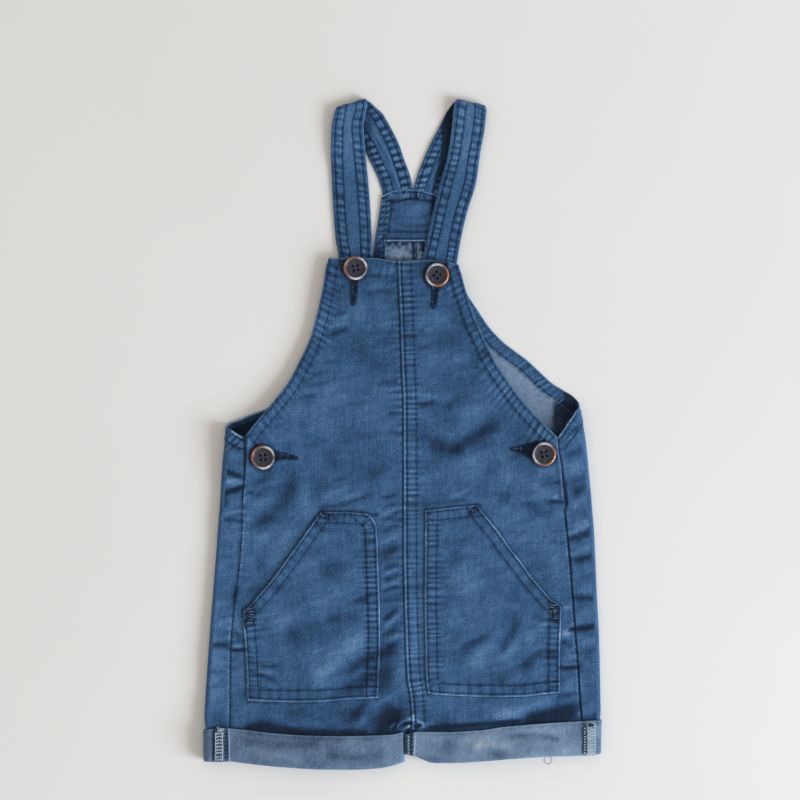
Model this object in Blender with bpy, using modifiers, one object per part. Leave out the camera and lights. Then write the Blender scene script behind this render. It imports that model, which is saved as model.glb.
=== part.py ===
"""Kids dungarees with short legs, laid flat on their back with the front up.

Metres, +Z up. The garment rests on Z = 0, +X is the right-hand side seen from
the front and +Y points from the legs to the straps. The origin is the middle
of the garment's outline on the surface it lies on. "left" and "right" are the
sides seen from the front.

Every cloth piece is an open middle surface worked out from the tables below
and given its thickness by Solidify. Tables are in millimetres.
"""

import bisect
import math
from collections import namedtuple

import bmesh
import bpy
from mathutils import Matrix, Vector

# ---------------------------------------------------------------- dimensions
MM = 0.001
ORIGIN = (-0.274, -0.797)  # middle of the outline in the tables' own frame

CLOTH = 1.0  # wall of one layer of denim
STRAP = 1.8  # a strap is two layers, pressed flat
GAP = 0.3  # between pieces joined edge to edge
REST = 0.45  # between a piece and the panel it lies on
LEG_END = 2.2  # from a cuff's lower edge to the end of the leg in it
CROTCH = -216.0  # where the centre seams end
LEG_ROWS = [1.0, 0.75, 0.5, 0.25]
CUFF_REST = 0.6  # between a cuff and the leg in it

LIE = 2.0  # underside of the front where it lies on the back
LIE_LEG = 3.0  # the same in the legs, over the cuffs' lower layer
SIDE_ROLL = 4.2  # underside of the front at the side folds
ROLL_REACH = 20.0  # how far a side fold's roll reaches inwards
LEG_LIFT = 1.6  # a leg's back rests on its cuff, this far off the surface
LEG_LIFT_FROM, LEG_LIFT_TO = -194.0, -211.0

BACK_COLUMNS, FOLD_COLUMNS, RETURN_COLUMNS = 7, 5, 2
FRONT_COLUMNS = 10
CUFF_COLUMNS, CUFF_TURN = 10, 4
STRAP_TURN = 7

BUTTON_D, BUTTON_T = 18.0, 3.0
BUTTON_HOLE_D, BUTTON_HOLE_OUT = 1.7, 1.9

# ---------------------------------------------------------------- tables
Side = namedtuple("Side", "y fold seam")
LEFT_SIDE = [
    Side(5.3, -132.8, -118.5),
    Side(-4.0, -133.4, -118.5),
    Side(-25, -135.5, -118.6),
    Side(-50, -137.0, -120.0),
    Side(-75, -139.0, -121.3),
    Side(-100, -140.8, -123.0),
    Side(-125, -142.8, -126.2),
    Side(-150, -144.8, -128.6),
    Side(-175, -146.5, -129.6),
    Side(-200, -148.2, -129.8),
    Side(-213, -148.8, -129.8),
    Side(-223, -147.8, -129.8),
    Side(-252, -147.4, -129.8),
]
RIGHT_SIDE = [
    Side(20.3, 132.0, 115.2),
    Side(12.0, 134.0, 115.2),
    Side(5.3, 135.0, 115.2),
    Side(-4.5, 136.6, 115.2),
    Side(-25, 138.9, 117.8),
    Side(-50, 141.2, 120.3),
    Side(-75, 143.2, 123.2),
    Side(-100, 144.4, 125.6),
    Side(-125, 145.4, 127.5),
    Side(-150, 146.8, 129.4),
    Side(-175, 147.5, 131.4),
    Side(-200, 147.9, 132.9),
    Side(-209, 148.0, 133.6),
    Side(-218, 147.0, 134.0),
    Side(-252, 146.2, 133.5),
]

Middle = namedtuple("Middle", "y front back")
MIDDLE = [
    Middle(182, -4.6, 11.3),
    Middle(127, -4.1, 10.6),
    Middle(84, -2.3, 10.0),
    Middle(39, -0.8, 9.5),
    Middle(24, 0.0, 9.3),
    Middle(-96, 0.3, 8.0),
    Middle(-126, 0.8, 7.6),
    Middle(-163, 1.9, 7.2),
    Middle(-182, 2.8, 7.0),
    Middle(-201, 5.6, 6.8),
    Middle(-216, 6.6, 6.6),
]

Inseam = namedtuple("Inseam", "y left right")  # inner edges of the two legs
INSEAM = [
    Inseam(-216, 6.4, 6.8),
    Inseam(-220, 2.4, 9.6),
    Inseam(-225, -1.0, 10.6),
    Inseam(-232, -1.8, 7.6),
    Inseam(-240, -2.5, 5.8),
    Inseam(-256, -2.8, 5.0),
]

FrontEdge = namedtuple("FrontEdge", "y left right")  # armhole edges of the bib
FRONT_EDGE = [
    FrontEdge(128, -55.6, 40.2),
    FrontEdge(124, -57.0, 41.4),
    FrontEdge(114, -58.6, 44.3),
    FrontEdge(106, -60.0, 46.6),
    FrontEdge(84, -65.2, 54.0),
    FrontEdge(69, -69.6, 60.8),
    FrontEdge(52.5, -77.3, 68.6),
    FrontEdge(38, -85.0, 78.4),
    FrontEdge(23.3, -96.0, 89.0),
    FrontEdge(10, -107.4, 101.1),
    FrontEdge(-4.2, -118.5, 115.2),
]
BibTop = namedtuple("BibTop", "x y")
BIB_TOP = [
    BibTop(-55.6, 129.8),
    BibTop(-21.0, 129.8),
    BibTop(-13.5, 128.7),
    BibTop(-2.0, 127.2),
    BibTop(16.0, 128.3),
    BibTop(28.0, 127.8),
    BibTop(40.2, 125.2),
]

BackEdge = namedtuple("BackEdge", "y x")  # armhole edges of the back, upwards
BACK_EDGE_LEFT = [
    BackEdge(5.3, -132.8),
    BackEdge(8.3, -126.0),
    BackEdge(11.3, -118.5),
    BackEdge(14.3, -111.0),
    BackEdge(18.0, -101.3),
    BackEdge(24.0, -93.5),
    BackEdge(34.0, -86.0),
    BackEdge(45.0, -78.0),
    BackEdge(58.0, -68.3),
    BackEdge(73.0, -57.0),
    BackEdge(88.0, -46.5),
    BackEdge(103.0, -36.8),
    BackEdge(118.0, -27.8),
    BackEdge(131.0, -22.5),
    BackEdge(143.0, -21.0),
    BackEdge(156.0, -18.8),
    BackEdge(177.0, -15.6),
]
BACK_EDGE_RIGHT = [
    BackEdge(20.3, 132.0),
    BackEdge(25.0, 129.0),
    BackEdge(30.0, 121.5),
    BackEdge(36.0, 111.8),
    BackEdge(43.5, 103.5),
    BackEdge(53.3, 93.0),
    BackEdge(60.0, 84.0),
    BackEdge(67.0, 75.0),
    BackEdge(78.0, 64.5),
    BackEdge(91.5, 55.5),
    BackEdge(104.3, 47.3),
    BackEdge(127.5, 39.0),
    BackEdge(142.5, 35.3),
    BackEdge(157.0, 32.3),
    BackEdge(175.5, 30.0),
]
TabTop = namedtuple("TabTop", "x y")
TAB_TOP = [
    TabTop(-15.6, 177.0),
    TabTop(-7.0, 180.8),
    TabTop(2.3, 181.8),
    TabTop(11.0, 181.4),
    TabTop(20.0, 179.3),
    TabTop(30.0, 175.4),
]
# y where the armhole edge, coming round a side fold to the front, meets each
# column of the side panel: once round the fold, half way, at the side seam
Returned = namedtuple("Returned", "fold half seam")
RETURNED_LEFT = Returned(3.6, -2.4, -4.2)
RETURNED_RIGHT = Returned(15.2, 6.6, -4.5)

# soft lifts of the front over what is under it: middle, reach, height
Lift = namedtuple("Lift", "x y reach_x reach_y height")
LIFTS = [
    Lift(-36, 117, 30, 27, 2.1),  # over the left strap's end
    Lift(26, 115, 30, 27, 2.2),  # over the right strap's end
    Lift(-104, -30, 26, 40, 2.0),  # over the left placket
    Lift(106, -28, 26, 40, 1.8),  # over the right placket
    Lift(-127, -4, 26, 26, 3.4),  # mouth of the left armhole
    Lift(124, 6, 26, 26, 3.6),  # mouth of the right armhole
    Lift(-76, -252, 50, 46, 6.2),  # mouth of the left leg
    Lift(78, -248, 50, 46, 6.0),  # mouth of the right leg
    Lift(4, -110, 70, 60, 0.8),
]
# largest folds of the front: from, to, half width and height (- is a trough)
Fold = namedtuple("Fold", "x0 y0 x1 y1 reach height")
FOLDS = [
    Fold(-74, -44, -108, -90, 9, -0.6),
    Fold(92, 2, 50, -30, 10, -0.8),
    Fold(-64, 60, -30, 10, 12, 0.6),
    Fold(64, 46, 30, -6, 12, 0.5),
    Fold(-22, -200, -4, -214, 9, -0.7),
]

Row = namedtuple("Row", "y inner outer")
POCKET_LEFT = [  # outer is the side-seam side, -X
    Row(-201.0, -19.4, -115.6),
    Row(-196.0, -19.0, -116.0),
    Row(-180.0, -18.2, -116.7),
    Row(-163.0, -17.7, -117.8),
    Row(-146.0, -17.5, -118.8),
    Row(-133.5, -17.8, -119.5),
    Row(-128.0, -17.9, -113.4),
    Row(-114.0, -18.3, -101.2),
    Row(-98.0, -18.8, -88.5),
    Row(-82.5, -19.4, -77.3),
    Row(-72.0, -19.9, -70.0),
    Row(-64.5, -23.6, -64.6),
    Row(-61.0, -27.0, -61.6),
]
POCKET_RIGHT = [  # outer is the side-seam side, +X
    Row(-195.5, 19.4, 116.6),
    Row(-190.0, 18.8, 116.8),
    Row(-176.0, 17.8, 116.9),
    Row(-158.0, 17.1, 117.1),
    Row(-140.0, 16.5, 117.8),
    Row(-130.0, 16.4, 116.2),
    Row(-126.0, 16.4, 111.4),
    Row(-111.0, 16.5, 97.6),
    Row(-98.0, 16.6, 88.4),
    Row(-87.0, 16.7, 79.9),
    Row(-74.0, 16.8, 70.8),
    Row(-63.0, 16.9, 61.4),
    Row(-57.4, 17.0, 56.4),
]
POCKET_COLUMNS = 7

CuffLine = namedtuple("CuffLine", "x y")
CUFF_LEFT_TOP = [
    CuffLine(-150, -223.0),
    CuffLine(-136, -221.2),
    CuffLine(-122, -222.2),
    CuffLine(-96, -225.0),
    CuffLine(-70, -226.6),
    CuffLine(-40, -227.2),
    CuffLine(-10, -226.4),
    CuffLine(2, -224.0),
]
CUFF_LEFT_END = [
    CuffLine(-150, -246.4),
    CuffLine(-129, -246.2),
    CuffLine(-118, -247.6),
    CuffLine(-85, -250.5),
    CuffLine(-55, -252.0),
    CuffLine(-36, -252.3),
    CuffLine(-17, -251.2),
    CuffLine(-6, -249.0),
    CuffLine(2, -246.0),
]
CUFF_RIGHT_TOP = [
    CuffLine(3, -226.0),
    CuffLine(12, -224.0),
    CuffLine(28, -224.2),
    CuffLine(58, -222.6),
    CuffLine(75, -220.2),
    CuffLine(110, -217.4),
    CuffLine(134, -216.0),
    CuffLine(150, -215.2),
]
CUFF_RIGHT_END = [
    CuffLine(1, -241.6),
    CuffLine(8, -243.2),
    CuffLine(14, -245.6),
    CuffLine(22, -248.0),
    CuffLine(30, -248.2),
    CuffLine(58, -246.8),
    CuffLine(80, -244.6),
    CuffLine(103, -243.0),
    CuffLine(130, -242.2),
    CuffLine(150, -240.6),
]

# straps as two edges: the front section upwards, then the back section down
StrapRow = namedtuple("StrapRow", "left_x left_y right_x right_y z")
STRAP_LEFT_FRONT = [
    StrapRow(-48.0, 108.0, -22.0, 108.0, 2.35),
    StrapRow(-48.0, 130.0, -22.9, 130.0, 2.35),
    StrapRow(-50.2, 144.0, -23.4, 144.0, 1.9),
    StrapRow(-51.8, 163.0, -24.4, 163.0, 1.4),
    StrapRow(-53.2, 189.0, -26.3, 189.0, 1.7),
    StrapRow(-54.0, 211.0, -28.5, 211.0, 3.1),
    StrapRow(-53.4, 230.0, -30.0, 231.0, 4.2),
]
STRAP_LEFT_CREASE = StrapRow(-50.6, 240.4, -26.0, 247.6, 5.3)
STRAP_LEFT_BACK = [
    StrapRow(-45.6, 235.0, -16.0, 239.6, 0.9),
    StrapRow(-37.0, 225.0, -10.6, 230.4, 0.9),
    StrapRow(-29.0, 212.6, -3.2, 215.6, 0.9),
    StrapRow(-24.6, 203.4, 0.6, 204.6, 0.9),
    StrapRow(-18.4, 190.0, 5.4, 191.4, 0.9),
    StrapRow(-15.4, 180.4, 7.2, 182.9, 0.9),
]
STRAP_RIGHT_FRONT = [
    StrapRow(12.4, 106.0, 36.8, 106.0, 2.35),
    StrapRow(14.6, 128.0, 40.4, 128.0, 2.4),
    StrapRow(18.2, 144.8, 43.0, 143.4, 3.8),
    StrapRow(23.2, 167.0, 47.6, 163.6, 3.8),
    StrapRow(29.2, 191.0, 54.6, 187.0, 3.3),
    StrapRow(33.6, 207.0, 57.6, 208.0, 3.3),
    StrapRow(36.6, 226.0, 61.0, 226.0, 4.2),
]
STRAP_RIGHT_CREASE = StrapRow(38.6, 247.2, 62.4, 241.6, 5.3)
STRAP_RIGHT_BACK = [
    StrapRow(33.4, 241.0, 57.8, 235.6, 0.9),
    StrapRow(27.0, 228.0, 51.4, 224.0, 0.9),
    StrapRow(22.2, 219.0, 46.6, 213.4, 0.9),
    StrapRow(15.4, 204.2, 40.6, 200.6, 0.9),
    StrapRow(10.2, 190.4, 34.0, 188.6, 0.9),
    StrapRow(8.0, 182.8, 30.4, 177.3, 0.9),
]

PLACKET_LEFT = [  # outer ends just inside the side seam, inner under the front
    Row(-6.0, -98.0, -118.0),
    Row(-20.0, -88.5, -118.2),
    Row(-38.0, -88.5, -118.8),
    Row(-54.0, -92.0, -119.8),
]
PLACKET_RIGHT = [
    Row(-6.0, 97.0, 115.4),
    Row(-20.0, 86.5, 117.0),
    Row(-38.0, 86.5, 118.9),
    Row(-54.0, 90.0, 120.6),
]

FACING = [  # inner is -X here, outer +X
    Row(143.4, -12.0, 33.6),
    Row(156.0, -14.2, 31.6),
    Row(168.0, -15.6, 30.2),
    Row(174.4, -14.6, 29.2),
]

Button = namedtuple("Button", "name x y gap")
BUTTONS = [
    Button("button_strap_left", -35.5, 122.5, 0.5),
    Button("button_strap_right", 25.4, 117.3, 0.5),
    Button("button_side_left", -104.6, -18.9, 0.8),
    Button("button_side_right", 105.3, -16.4, 0.8),
]

Finish = namedtuple("Finish", "red green blue roughness metallic")
FINISHES = {
    "denim": Finish(0.060, 0.135, 0.270, 0.85, 0.0),
    "denim_reverse": Finish(0.200, 0.290, 0.420, 0.88, 0.0),
    "button": Finish(0.030, 0.035, 0.055, 0.35, 0.0),
}


# ---------------------------------------------------------------- functions
def smooth_line(keys, values, at):
    """A smooth curve through the rows of a table, level past both ends."""
    if keys[0] > keys[-1]:
        keys, values = keys[::-1], values[::-1]
    if at <= keys[0]:
        return values[0]
    if at >= keys[-1]:
        return values[-1]
    i = bisect.bisect_right(keys, at) - 1
    slopes = []
    for k in (i, i + 1):
        lo, hi = max(k - 1, 0), min(k + 1, len(keys) - 1)
        before = (values[k] - values[lo]) / (keys[k] - keys[lo]) if k > lo else None
        after = (values[hi] - values[k]) / (keys[hi] - keys[k]) if hi > k else None
        if before is None or after is None:
            slopes.append(after if before is None else before)
        elif before * after <= 0:
            slopes.append(0.0)
        else:
            slopes.append(2 * before * after / (before + after))
    step = keys[i + 1] - keys[i]
    t = (at - keys[i]) / step
    return (
        values[i] * (1 + 2 * t) * (1 - t) ** 2
        + values[i + 1] * t * t * (3 - 2 * t)
        + slopes[0] * step * t * (1 - t) ** 2
        - slopes[1] * step * t * t * (1 - t)
    )


def column(table, key, value, at):
    return smooth_line(
        [getattr(r, key) for r in table], [getattr(r, value) for r in table], at
    )


def step_between(a, b, at):
    t = min(max((at - a) / (b - a), 0.0), 1.0)
    return t * t * (3 - 2 * t)


def fold_x(side, y):
    return column(LEFT_SIDE if side < 0 else RIGHT_SIDE, "y", "fold", y)


def seam_x(side, y):
    return column(LEFT_SIDE if side < 0 else RIGHT_SIDE, "y", "seam", y)


def inner_x(side, y, which):
    """The centre seam's x, and below the crotch the leg's inner edge."""
    if y >= CROTCH:
        return column(MIDDLE, "y", which, y)
    return column(INSEAM, "y", "left" if side < 0 else "right", y)


def back_lift(y):
    """Underside of the back: flat on the surface, raised over the cuffs."""
    return LEG_LIFT * step_between(LEG_LIFT_FROM, LEG_LIFT_TO, y)


def front_under(x, y):
    """Underside of the front, and of the side panels that join it."""
    z = LIE + (LIE_LEG - LIE) * step_between(LEG_LIFT_FROM, LEG_LIFT_TO, y)
    roll = SIDE_ROLL - LIE
    z += roll * math.exp(-(((x - fold_x(-1, y)) / ROLL_REACH) ** 2))
    z += roll * math.exp(-(((fold_x(1, y) - x) / ROLL_REACH) ** 2))
    for s in LIFTS:
        z += s.height * math.exp(
            -(((x - s.x) / s.reach_x) ** 2) - ((y - s.y) / s.reach_y) ** 2
        )
    for f in FOLDS:
        run = Vector((f.x1 - f.x0, f.y1 - f.y0))
        off = Vector((x - f.x0, y - f.y0))
        along = off.dot(run) / run.length_squared
        across = abs(off.x * run.y - off.y * run.x) / run.length
        ends = step_between(-0.25, 0.25, along) * step_between(1.25, 0.75, along)
        z += f.height * ends * math.exp(-((across / f.reach) ** 2))
    return z


def front_tilt(x, y):
    """Unit normal of the front at a point."""
    d = 4.0
    dx = (front_under(x + d, y) - front_under(x - d, y)) / (2 * d)
    dy = (front_under(x, y + d) - front_under(x, y - d)) / (2 * d)
    return Vector((-dx, -dy, 1.0)).normalized()


def place(x, y, z):
    return Vector(((x - ORIGIN[0]) * MM, (y - ORIGIN[1]) * MM, z * MM))


def fractions(n):
    return [i / n for i in range(n + 1)]


# ---------------------------------------------------------------- building
def clear_scene():
    for ob in list(bpy.data.objects):
        bpy.data.objects.remove(ob, do_unlink=True)


def collection(name):
    c = bpy.data.collections.get(name) or bpy.data.collections.new(name)
    if name not in bpy.context.scene.collection.children:
        bpy.context.scene.collection.children.link(c)
    return c


def material(name, finish):
    f = FINISHES[finish]
    mat = bpy.data.materials.new(name)
    mat.use_nodes = True
    node = mat.node_tree.nodes["Principled BSDF"]
    node.inputs["Base Color"].default_value = (f.red, f.green, f.blue, 1.0)
    node.inputs["Roughness"].default_value = f.roughness
    node.inputs["Metallic"].default_value = f.metallic
    mat.diffuse_color = (f.red, f.green, f.blue, 1.0)
    return mat


def sheet(name, rows, finish, wall=CLOTH, ring=False):
    """A piece of cloth: faces between neighbouring rows of its middle surface,
    thickened by Solidify. A row may be one point longer than its neighbour."""
    bm = bmesh.new()
    grid = [[bm.verts.new(p) for p in row] for row in rows]
    for a, b in zip(grid, grid[1:]):
        n = min(len(a), len(b))
        count = n if ring else n - 1
        for i in range(count):
            j = (i + 1) % n
            bm.faces.new((a[i], a[j], b[j], b[i]))
        if len(a) > n:
            bm.faces.new((a[n - 1], a[n], b[n - 1]))
        if len(b) > n:
            bm.faces.new((a[n - 1], b[n], b[n - 1]))
    bmesh.ops.recalc_face_normals(bm, faces=bm.faces)
    mesh = bpy.data.meshes.new(name)
    bm.to_mesh(mesh)
    bm.free()
    ob = bpy.data.objects.new(name, mesh)
    PARTS.objects.link(ob)
    mesh.materials.append(material(name, finish))
    mesh.shade_smooth()
    thick = ob.modifiers.new("wall", "SOLIDIFY")
    thick.thickness = wall * MM
    thick.offset = 0.0
    thick.use_even_offset = True
    return ob


def leg_level(ends, x, share):
    """y in a leg, a share of the way from the crotch to the leg's end."""
    return CROTCH + (column(ends, "x", "y", x) + LEG_END - CROTCH) * share


def front_half(side, name):
    """Half of the front: rows from the leg's end to the bib's top."""
    sign = -1 if side < 0 else 1
    ends = CUFF_LEFT_END if side < 0 else CUFF_RIGHT_END
    levels = [CROTCH, -211, -203, -191, -175, -157, -139, -121, -104, -88, -74]
    levels += [-60, -46, -31, -17, -4.2, 5, 15, 27, 41, 57, 75, 92, 106, 117]
    rows = []
    for k in range(-len(LEG_ROWS), len(levels) + 1):
        row = []
        for t in fractions(FRONT_COLUMNS):
            y = levels[min(max(k, 0), len(levels) - 1)]
            for _ in range(4):
                inner = inner_x(side, y, "front") + sign * GAP / 2
                if y < -4.2:
                    outer = seam_x(side, y) - sign * GAP / 2
                else:
                    edge = "left" if side < 0 else "right"
                    outer = column(FRONT_EDGE, "y", edge, y)
                x = inner + (outer - inner) * t
                if k < 0:
                    y = leg_level(ends, x, LEG_ROWS[k])
                elif k == len(levels):
                    y = column(BIB_TOP, "x", "y", x)
            row.append(place(x, y, front_under(x, y) + CLOTH / 2))
        rows.append(row)
    return sheet(name, rows, "denim")


def fold_point(side, y, turn, outset=0.0):
    """Round a side fold: turn is 0 at the back and pi at the front. Returns the
    point of the middle surface, moved out by outset."""
    low = back_lift(y) + CLOTH / 2
    edge = fold_x(side, y)
    high = front_under(edge - side * 3.0, y) + CLOTH / 2
    r = (high - low) / 2
    x = edge - side * (CLOTH / 2 + r)
    return x + side * (r + outset) * math.sin(turn), low + r - (
        r + outset
    ) * math.cos(turn)


def back_half(side, name):
    """Half of the back: under everything, round the side fold, and on top as
    the side panel up to the side seam."""
    edge_table = BACK_EDGE_LEFT if side < 0 else BACK_EDGE_RIGHT
    returned = RETURNED_LEFT if side < 0 else RETURNED_RIGHT
    corner = edge_table[0].y
    ends = CUFF_LEFT_END if side < 0 else CUFF_RIGHT_END

    def below(y, reach, share=None):
        def level(x):
            return y if share is None else leg_level(ends, x, share)

        row = []
        for t in fractions(BACK_COLUMNS):
            yy = y
            for _ in range(4):
                inner = inner_x(side, yy, "back") + side * GAP / 2
                x = inner + (fold_point(side, yy, 0)[0] - inner) * t
                yy = level(x)
            row.append(place(x, yy, back_lift(yy) + CLOTH / 2))
        yy = level(fold_x(side, y))
        for k in range(1, FOLD_COLUMNS + 1):
            x, z = fold_point(side, yy, math.pi * k / FOLD_COLUMNS)
            row.append(place(x, yy, z))
        for k in range(1, RETURN_COLUMNS + 1):
            start = fold_point(side, yy, math.pi)[0]
            last = seam_x(side, yy) + side * GAP / 2
            x = start + (last - start) * k / RETURN_COLUMNS
            yr = level(x)
            row.append(place(x, yr, front_under(x, yr) + CLOTH / 2))
        return row[:reach]

    def above(y, top=False):
        row = []
        for t in fractions(BACK_COLUMNS):
            yy = y
            for _ in range(3):
                inner = inner_x(side, yy, "back") + side * GAP / 2
                outer = column(edge_table, "y", "x", yy)
                x = inner + (outer - inner) * t
                if top:
                    yy = column(TAB_TOP, "x", "y", x)
            row.append(place(x, yy, CLOTH / 2))
        return row

    full = BACK_COLUMNS + 1 + FOLD_COLUMNS + RETURN_COLUMNS
    levels = [CROTCH, -211, -202, -193, -178, -158, -138, -118]
    levels += [-98, -78, -60, -44, -28, -15]
    rows = [below(CROTCH, full, share) for share in LEG_ROWS]
    rows += [below(y, full) for y in levels]
    rows.append(below(returned.seam, full))
    rows.append(below(returned.half, full - 1))
    for k in range(FOLD_COLUMNS, 0, -1):
        t = k / FOLD_COLUMNS
        y = corner + (returned.fold - corner) * t
        rows.append(below(y, BACK_COLUMNS + 1 + k))
    rows.append(below(corner, BACK_COLUMNS + 1))
    rows += [above(r.y) for r in edge_table[1:-1]]
    rows.append(above(edge_table[-1].y, top=True))
    return sheet(name, rows, "denim")


def strips(name, table, height, finish, columns, seats=None, wall=CLOTH):
    """A flat-lying piece from rows of y with an inner and an outer edge."""
    rows = []
    for r in table:
        row = []
        for t in fractions(columns):
            x = r.inner + (r.outer - r.inner) * t
            row.append(place(x, r.y, height(x, r.y)))
        rows.append(row)
    return sheet(name, rows, finish, wall)


def cuff(side, name):
    """Turned-up hem: a tube round the leg whose lower edge turns in under the
    leg's end."""
    tops = CUFF_LEFT_TOP if side < 0 else CUFF_RIGHT_TOP
    ends = CUFF_LEFT_END if side < 0 else CUFF_RIGHT_END
    out = CLOTH + CUFF_REST  # from the leg's middle surface to the cuff's
    r = out / 2
    stations = [("top", 0.0), ("wall", 0.33), ("wall", 0.67), ("turn", 0.0)]
    stations += [("turn", math.pi / 3), ("turn", 2 * math.pi / 3), ("turn", math.pi)]
    rows = []

    def level(x, kind, value):
        top = column(tops, "x", "y", x)
        low = column(ends, "x", "y", x) + CLOTH / 2 + r
        if kind == "turn":
            return low - r * math.sin(value)
        return top + (low - top) * value

    for kind, value in stations:
        outset = r + r * math.cos(value) if kind == "turn" else out
        ring = []
        middle_y = -236.0
        x_in = inner_x(side, middle_y, "front")
        x_out = fold_point(side, middle_y, math.pi)[0]
        lower, upper = [], []
        for t in fractions(CUFF_COLUMNS):
            x = x_in + (x_out - x_in) * t
            for _ in range(3):
                y = level(x, kind, value)
                a = inner_x(side, y, "front") - side * 0.6
                b = fold_point(side, y, math.pi)[0]
                x = a + (b - a) * t
            lower.append((x, y, back_lift(y) + CLOTH / 2 - outset))
            upper.append((x, y, front_under(x, y) + CLOTH / 2 + outset))
        ring += lower
        for k in range(1, CUFF_TURN + 1):
            y = level(fold_x(side, upper[-1][1]), kind, value)
            turn = math.pi * k / (CUFF_TURN + 1)
            x, z = fold_point(side, y, turn, outset)
            ring.append((x, y, z))
        ring += upper[::-1]
        x, y = upper[0][0], upper[0][1]
        low, high = lower[0][2], upper[0][2]
        half = (high - low) / 2
        for k in range(1, CUFF_TURN):
            turn = math.pi * k / CUFF_TURN
            ring.append(
                (x - side * half * math.sin(turn), y, low + half + half * math.cos(turn))
            )
        rows.append([place(*p) for p in ring])
    return sheet(name, rows, "denim_reverse", ring=True)


def strap(name, front, crease, back):
    """A double strap: up from behind the bib, over its crease, down to the tab."""

    def refine(rows):
        fine = []
        keys = list(range(len(rows)))
        for i in range(2 * (len(rows) - 1) + 1):
            fine.append(
                StrapRow(
                    *(
                        smooth_line(keys, [getattr(r, f) for r in rows], i / 2)
                        for f in StrapRow._fields
                    )
                )
            )
        return fine

    rows = []
    columns = 3

    def add(row):
        a = Vector((row.left_x, row.left_y, row.z))
        b = Vector((row.right_x, row.right_y, row.z))
        rows.append([place(*a.lerp(b, t)) for t in fractions(columns)])

    for row in refine(front):
        add(row)
    a = Vector((crease.left_x, crease.left_y, 0))
    b = Vector((crease.right_x, crease.right_y, 0))
    along = (b - a).normalized()
    up = Vector((-along.y, along.x, 0))
    low, high = back[0].z, crease.z
    r = (high - low) / 2
    for k in range(STRAP_TURN + 1):
        turn = math.pi * k / STRAP_TURN
        off = up * (r * math.sin(turn))
        z = low + r + r * math.cos(turn)
        row = [a.lerp(b, t) + off + Vector((0, 0, z)) for t in fractions(columns)]
        rows.append([place(*p) for p in row])
    for row in refine(back):
        add(row)
    return sheet(name, rows, "denim", STRAP)


def button(spec):
    """Four-hole button with a raised rim and a dished middle."""
    r, t = BUTTON_D / 2, BUTTON_T
    profile = [
        (0.0, t * 0.55),
        (r * 0.56, t * 0.55),
        (r * 0.70, t * 0.86),
        (r * 0.84, t),
        (r * 0.97, t * 0.72),
        (r, t * 0.42),
        (r * 0.80, 0.0),
        (0.0, 0.0),
    ]
    mesh = bpy.data.meshes.new(spec.name)
    mesh.from_pydata(
        [(x * MM, 0.0, z * MM) for x, z in profile],
        [(i, i + 1) for i in range(len(profile) - 1)],
        [],
    )
    ob = bpy.data.objects.new(spec.name, mesh)
    PARTS.objects.link(ob)
    mesh.materials.append(material(spec.name, "button"))
    turn = ob.modifiers.new("turned", "SCREW")
    turn.axis = "Z"
    turn.angle = 2 * math.pi
    turn.steps = turn.render_steps = 24
    turn.use_merge_vertices = True
    turn.merge_threshold = 0.00001
    normal = front_tilt(spec.x, spec.y)
    seat = Vector((spec.x, spec.y, front_under(spec.x, spec.y) + CLOTH)) + (
        normal * spec.gap
    )
    pose = Matrix.Translation(place(*seat)) @ normal.to_track_quat("Z", "Y").to_matrix().to_4x4()
    ob.matrix_world = pose
    bm = bmesh.new()
    for sx in (-1, 1):
        for sy in (-1, 1):
            at = Matrix.Translation(
                Vector((sx * BUTTON_HOLE_OUT, sy * BUTTON_HOLE_OUT, t / 2)) * MM
            )
            bmesh.ops.create_cone(
                bm,
                cap_ends=True,
                segments=8,
                radius1=BUTTON_HOLE_D / 2 * MM,
                radius2=BUTTON_HOLE_D / 2 * MM,
                depth=2 * t * MM,
                matrix=at,
            )
    cut_mesh = bpy.data.meshes.new(spec.name + "_holes")
    bm.to_mesh(cut_mesh)
    bm.free()
    cutter = bpy.data.objects.new(spec.name + "_holes", cut_mesh)
    CUTTERS.objects.link(cutter)
    cutter.matrix_world = pose
    cutter.hide_render = True
    cutter.display_type = "WIRE"
    holes = ob.modifiers.new("holes", "BOOLEAN")
    holes.object = cutter
    holes.operation = "DIFFERENCE"
    holes.solver = "EXACT"
    return ob


# ---------------------------------------------------------------- the garment
clear_scene()
PARTS = collection("kids_dungarees")
CUTTERS = collection("cutters")

front_half(-1, "front_left")
front_half(1, "front_right")
back_half(-1, "back_left")
back_half(1, "back_right")

strips("back_facing", FACING, lambda x, y: CLOTH + REST + CLOTH / 2, "denim", 5)

ON_FRONT = CLOTH + REST + CLOTH / 2
strips("pocket_left", POCKET_LEFT, lambda x, y: front_under(x, y) + ON_FRONT, "denim", POCKET_COLUMNS)
strips("pocket_right", POCKET_RIGHT, lambda x, y: front_under(x, y) + ON_FRONT, "denim", POCKET_COLUMNS)

UNDER_FRONT = REST + CLOTH / 2
strips("placket_left", PLACKET_LEFT, lambda x, y: front_under(x, y) - UNDER_FRONT, "denim", 3)
strips("placket_right", PLACKET_RIGHT, lambda x, y: front_under(x, y) - UNDER_FRONT, "denim", 3)

cuff(-1, "cuff_left")
cuff(1, "cuff_right")

strap("strap_left", STRAP_LEFT_FRONT, STRAP_LEFT_CREASE, STRAP_LEFT_BACK)
strap("strap_right", STRAP_RIGHT_FRONT, STRAP_RIGHT_CREASE, STRAP_RIGHT_BACK)

for spec in BUTTONS:
    button(spec)
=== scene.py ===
"""Looks of the kids dungarees: thin shells on the form of every cloth solid, with
their creases, felled seams, hems, puckers and stitches, four-hole buttons, and
procedural denim. Tables are in millimetres in the tables' own frame, whose
middle of the outline is ORIGIN; +X is right seen from the front, +Y is up the
garment, +Z is up off the surface it lies on."""

import math

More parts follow.
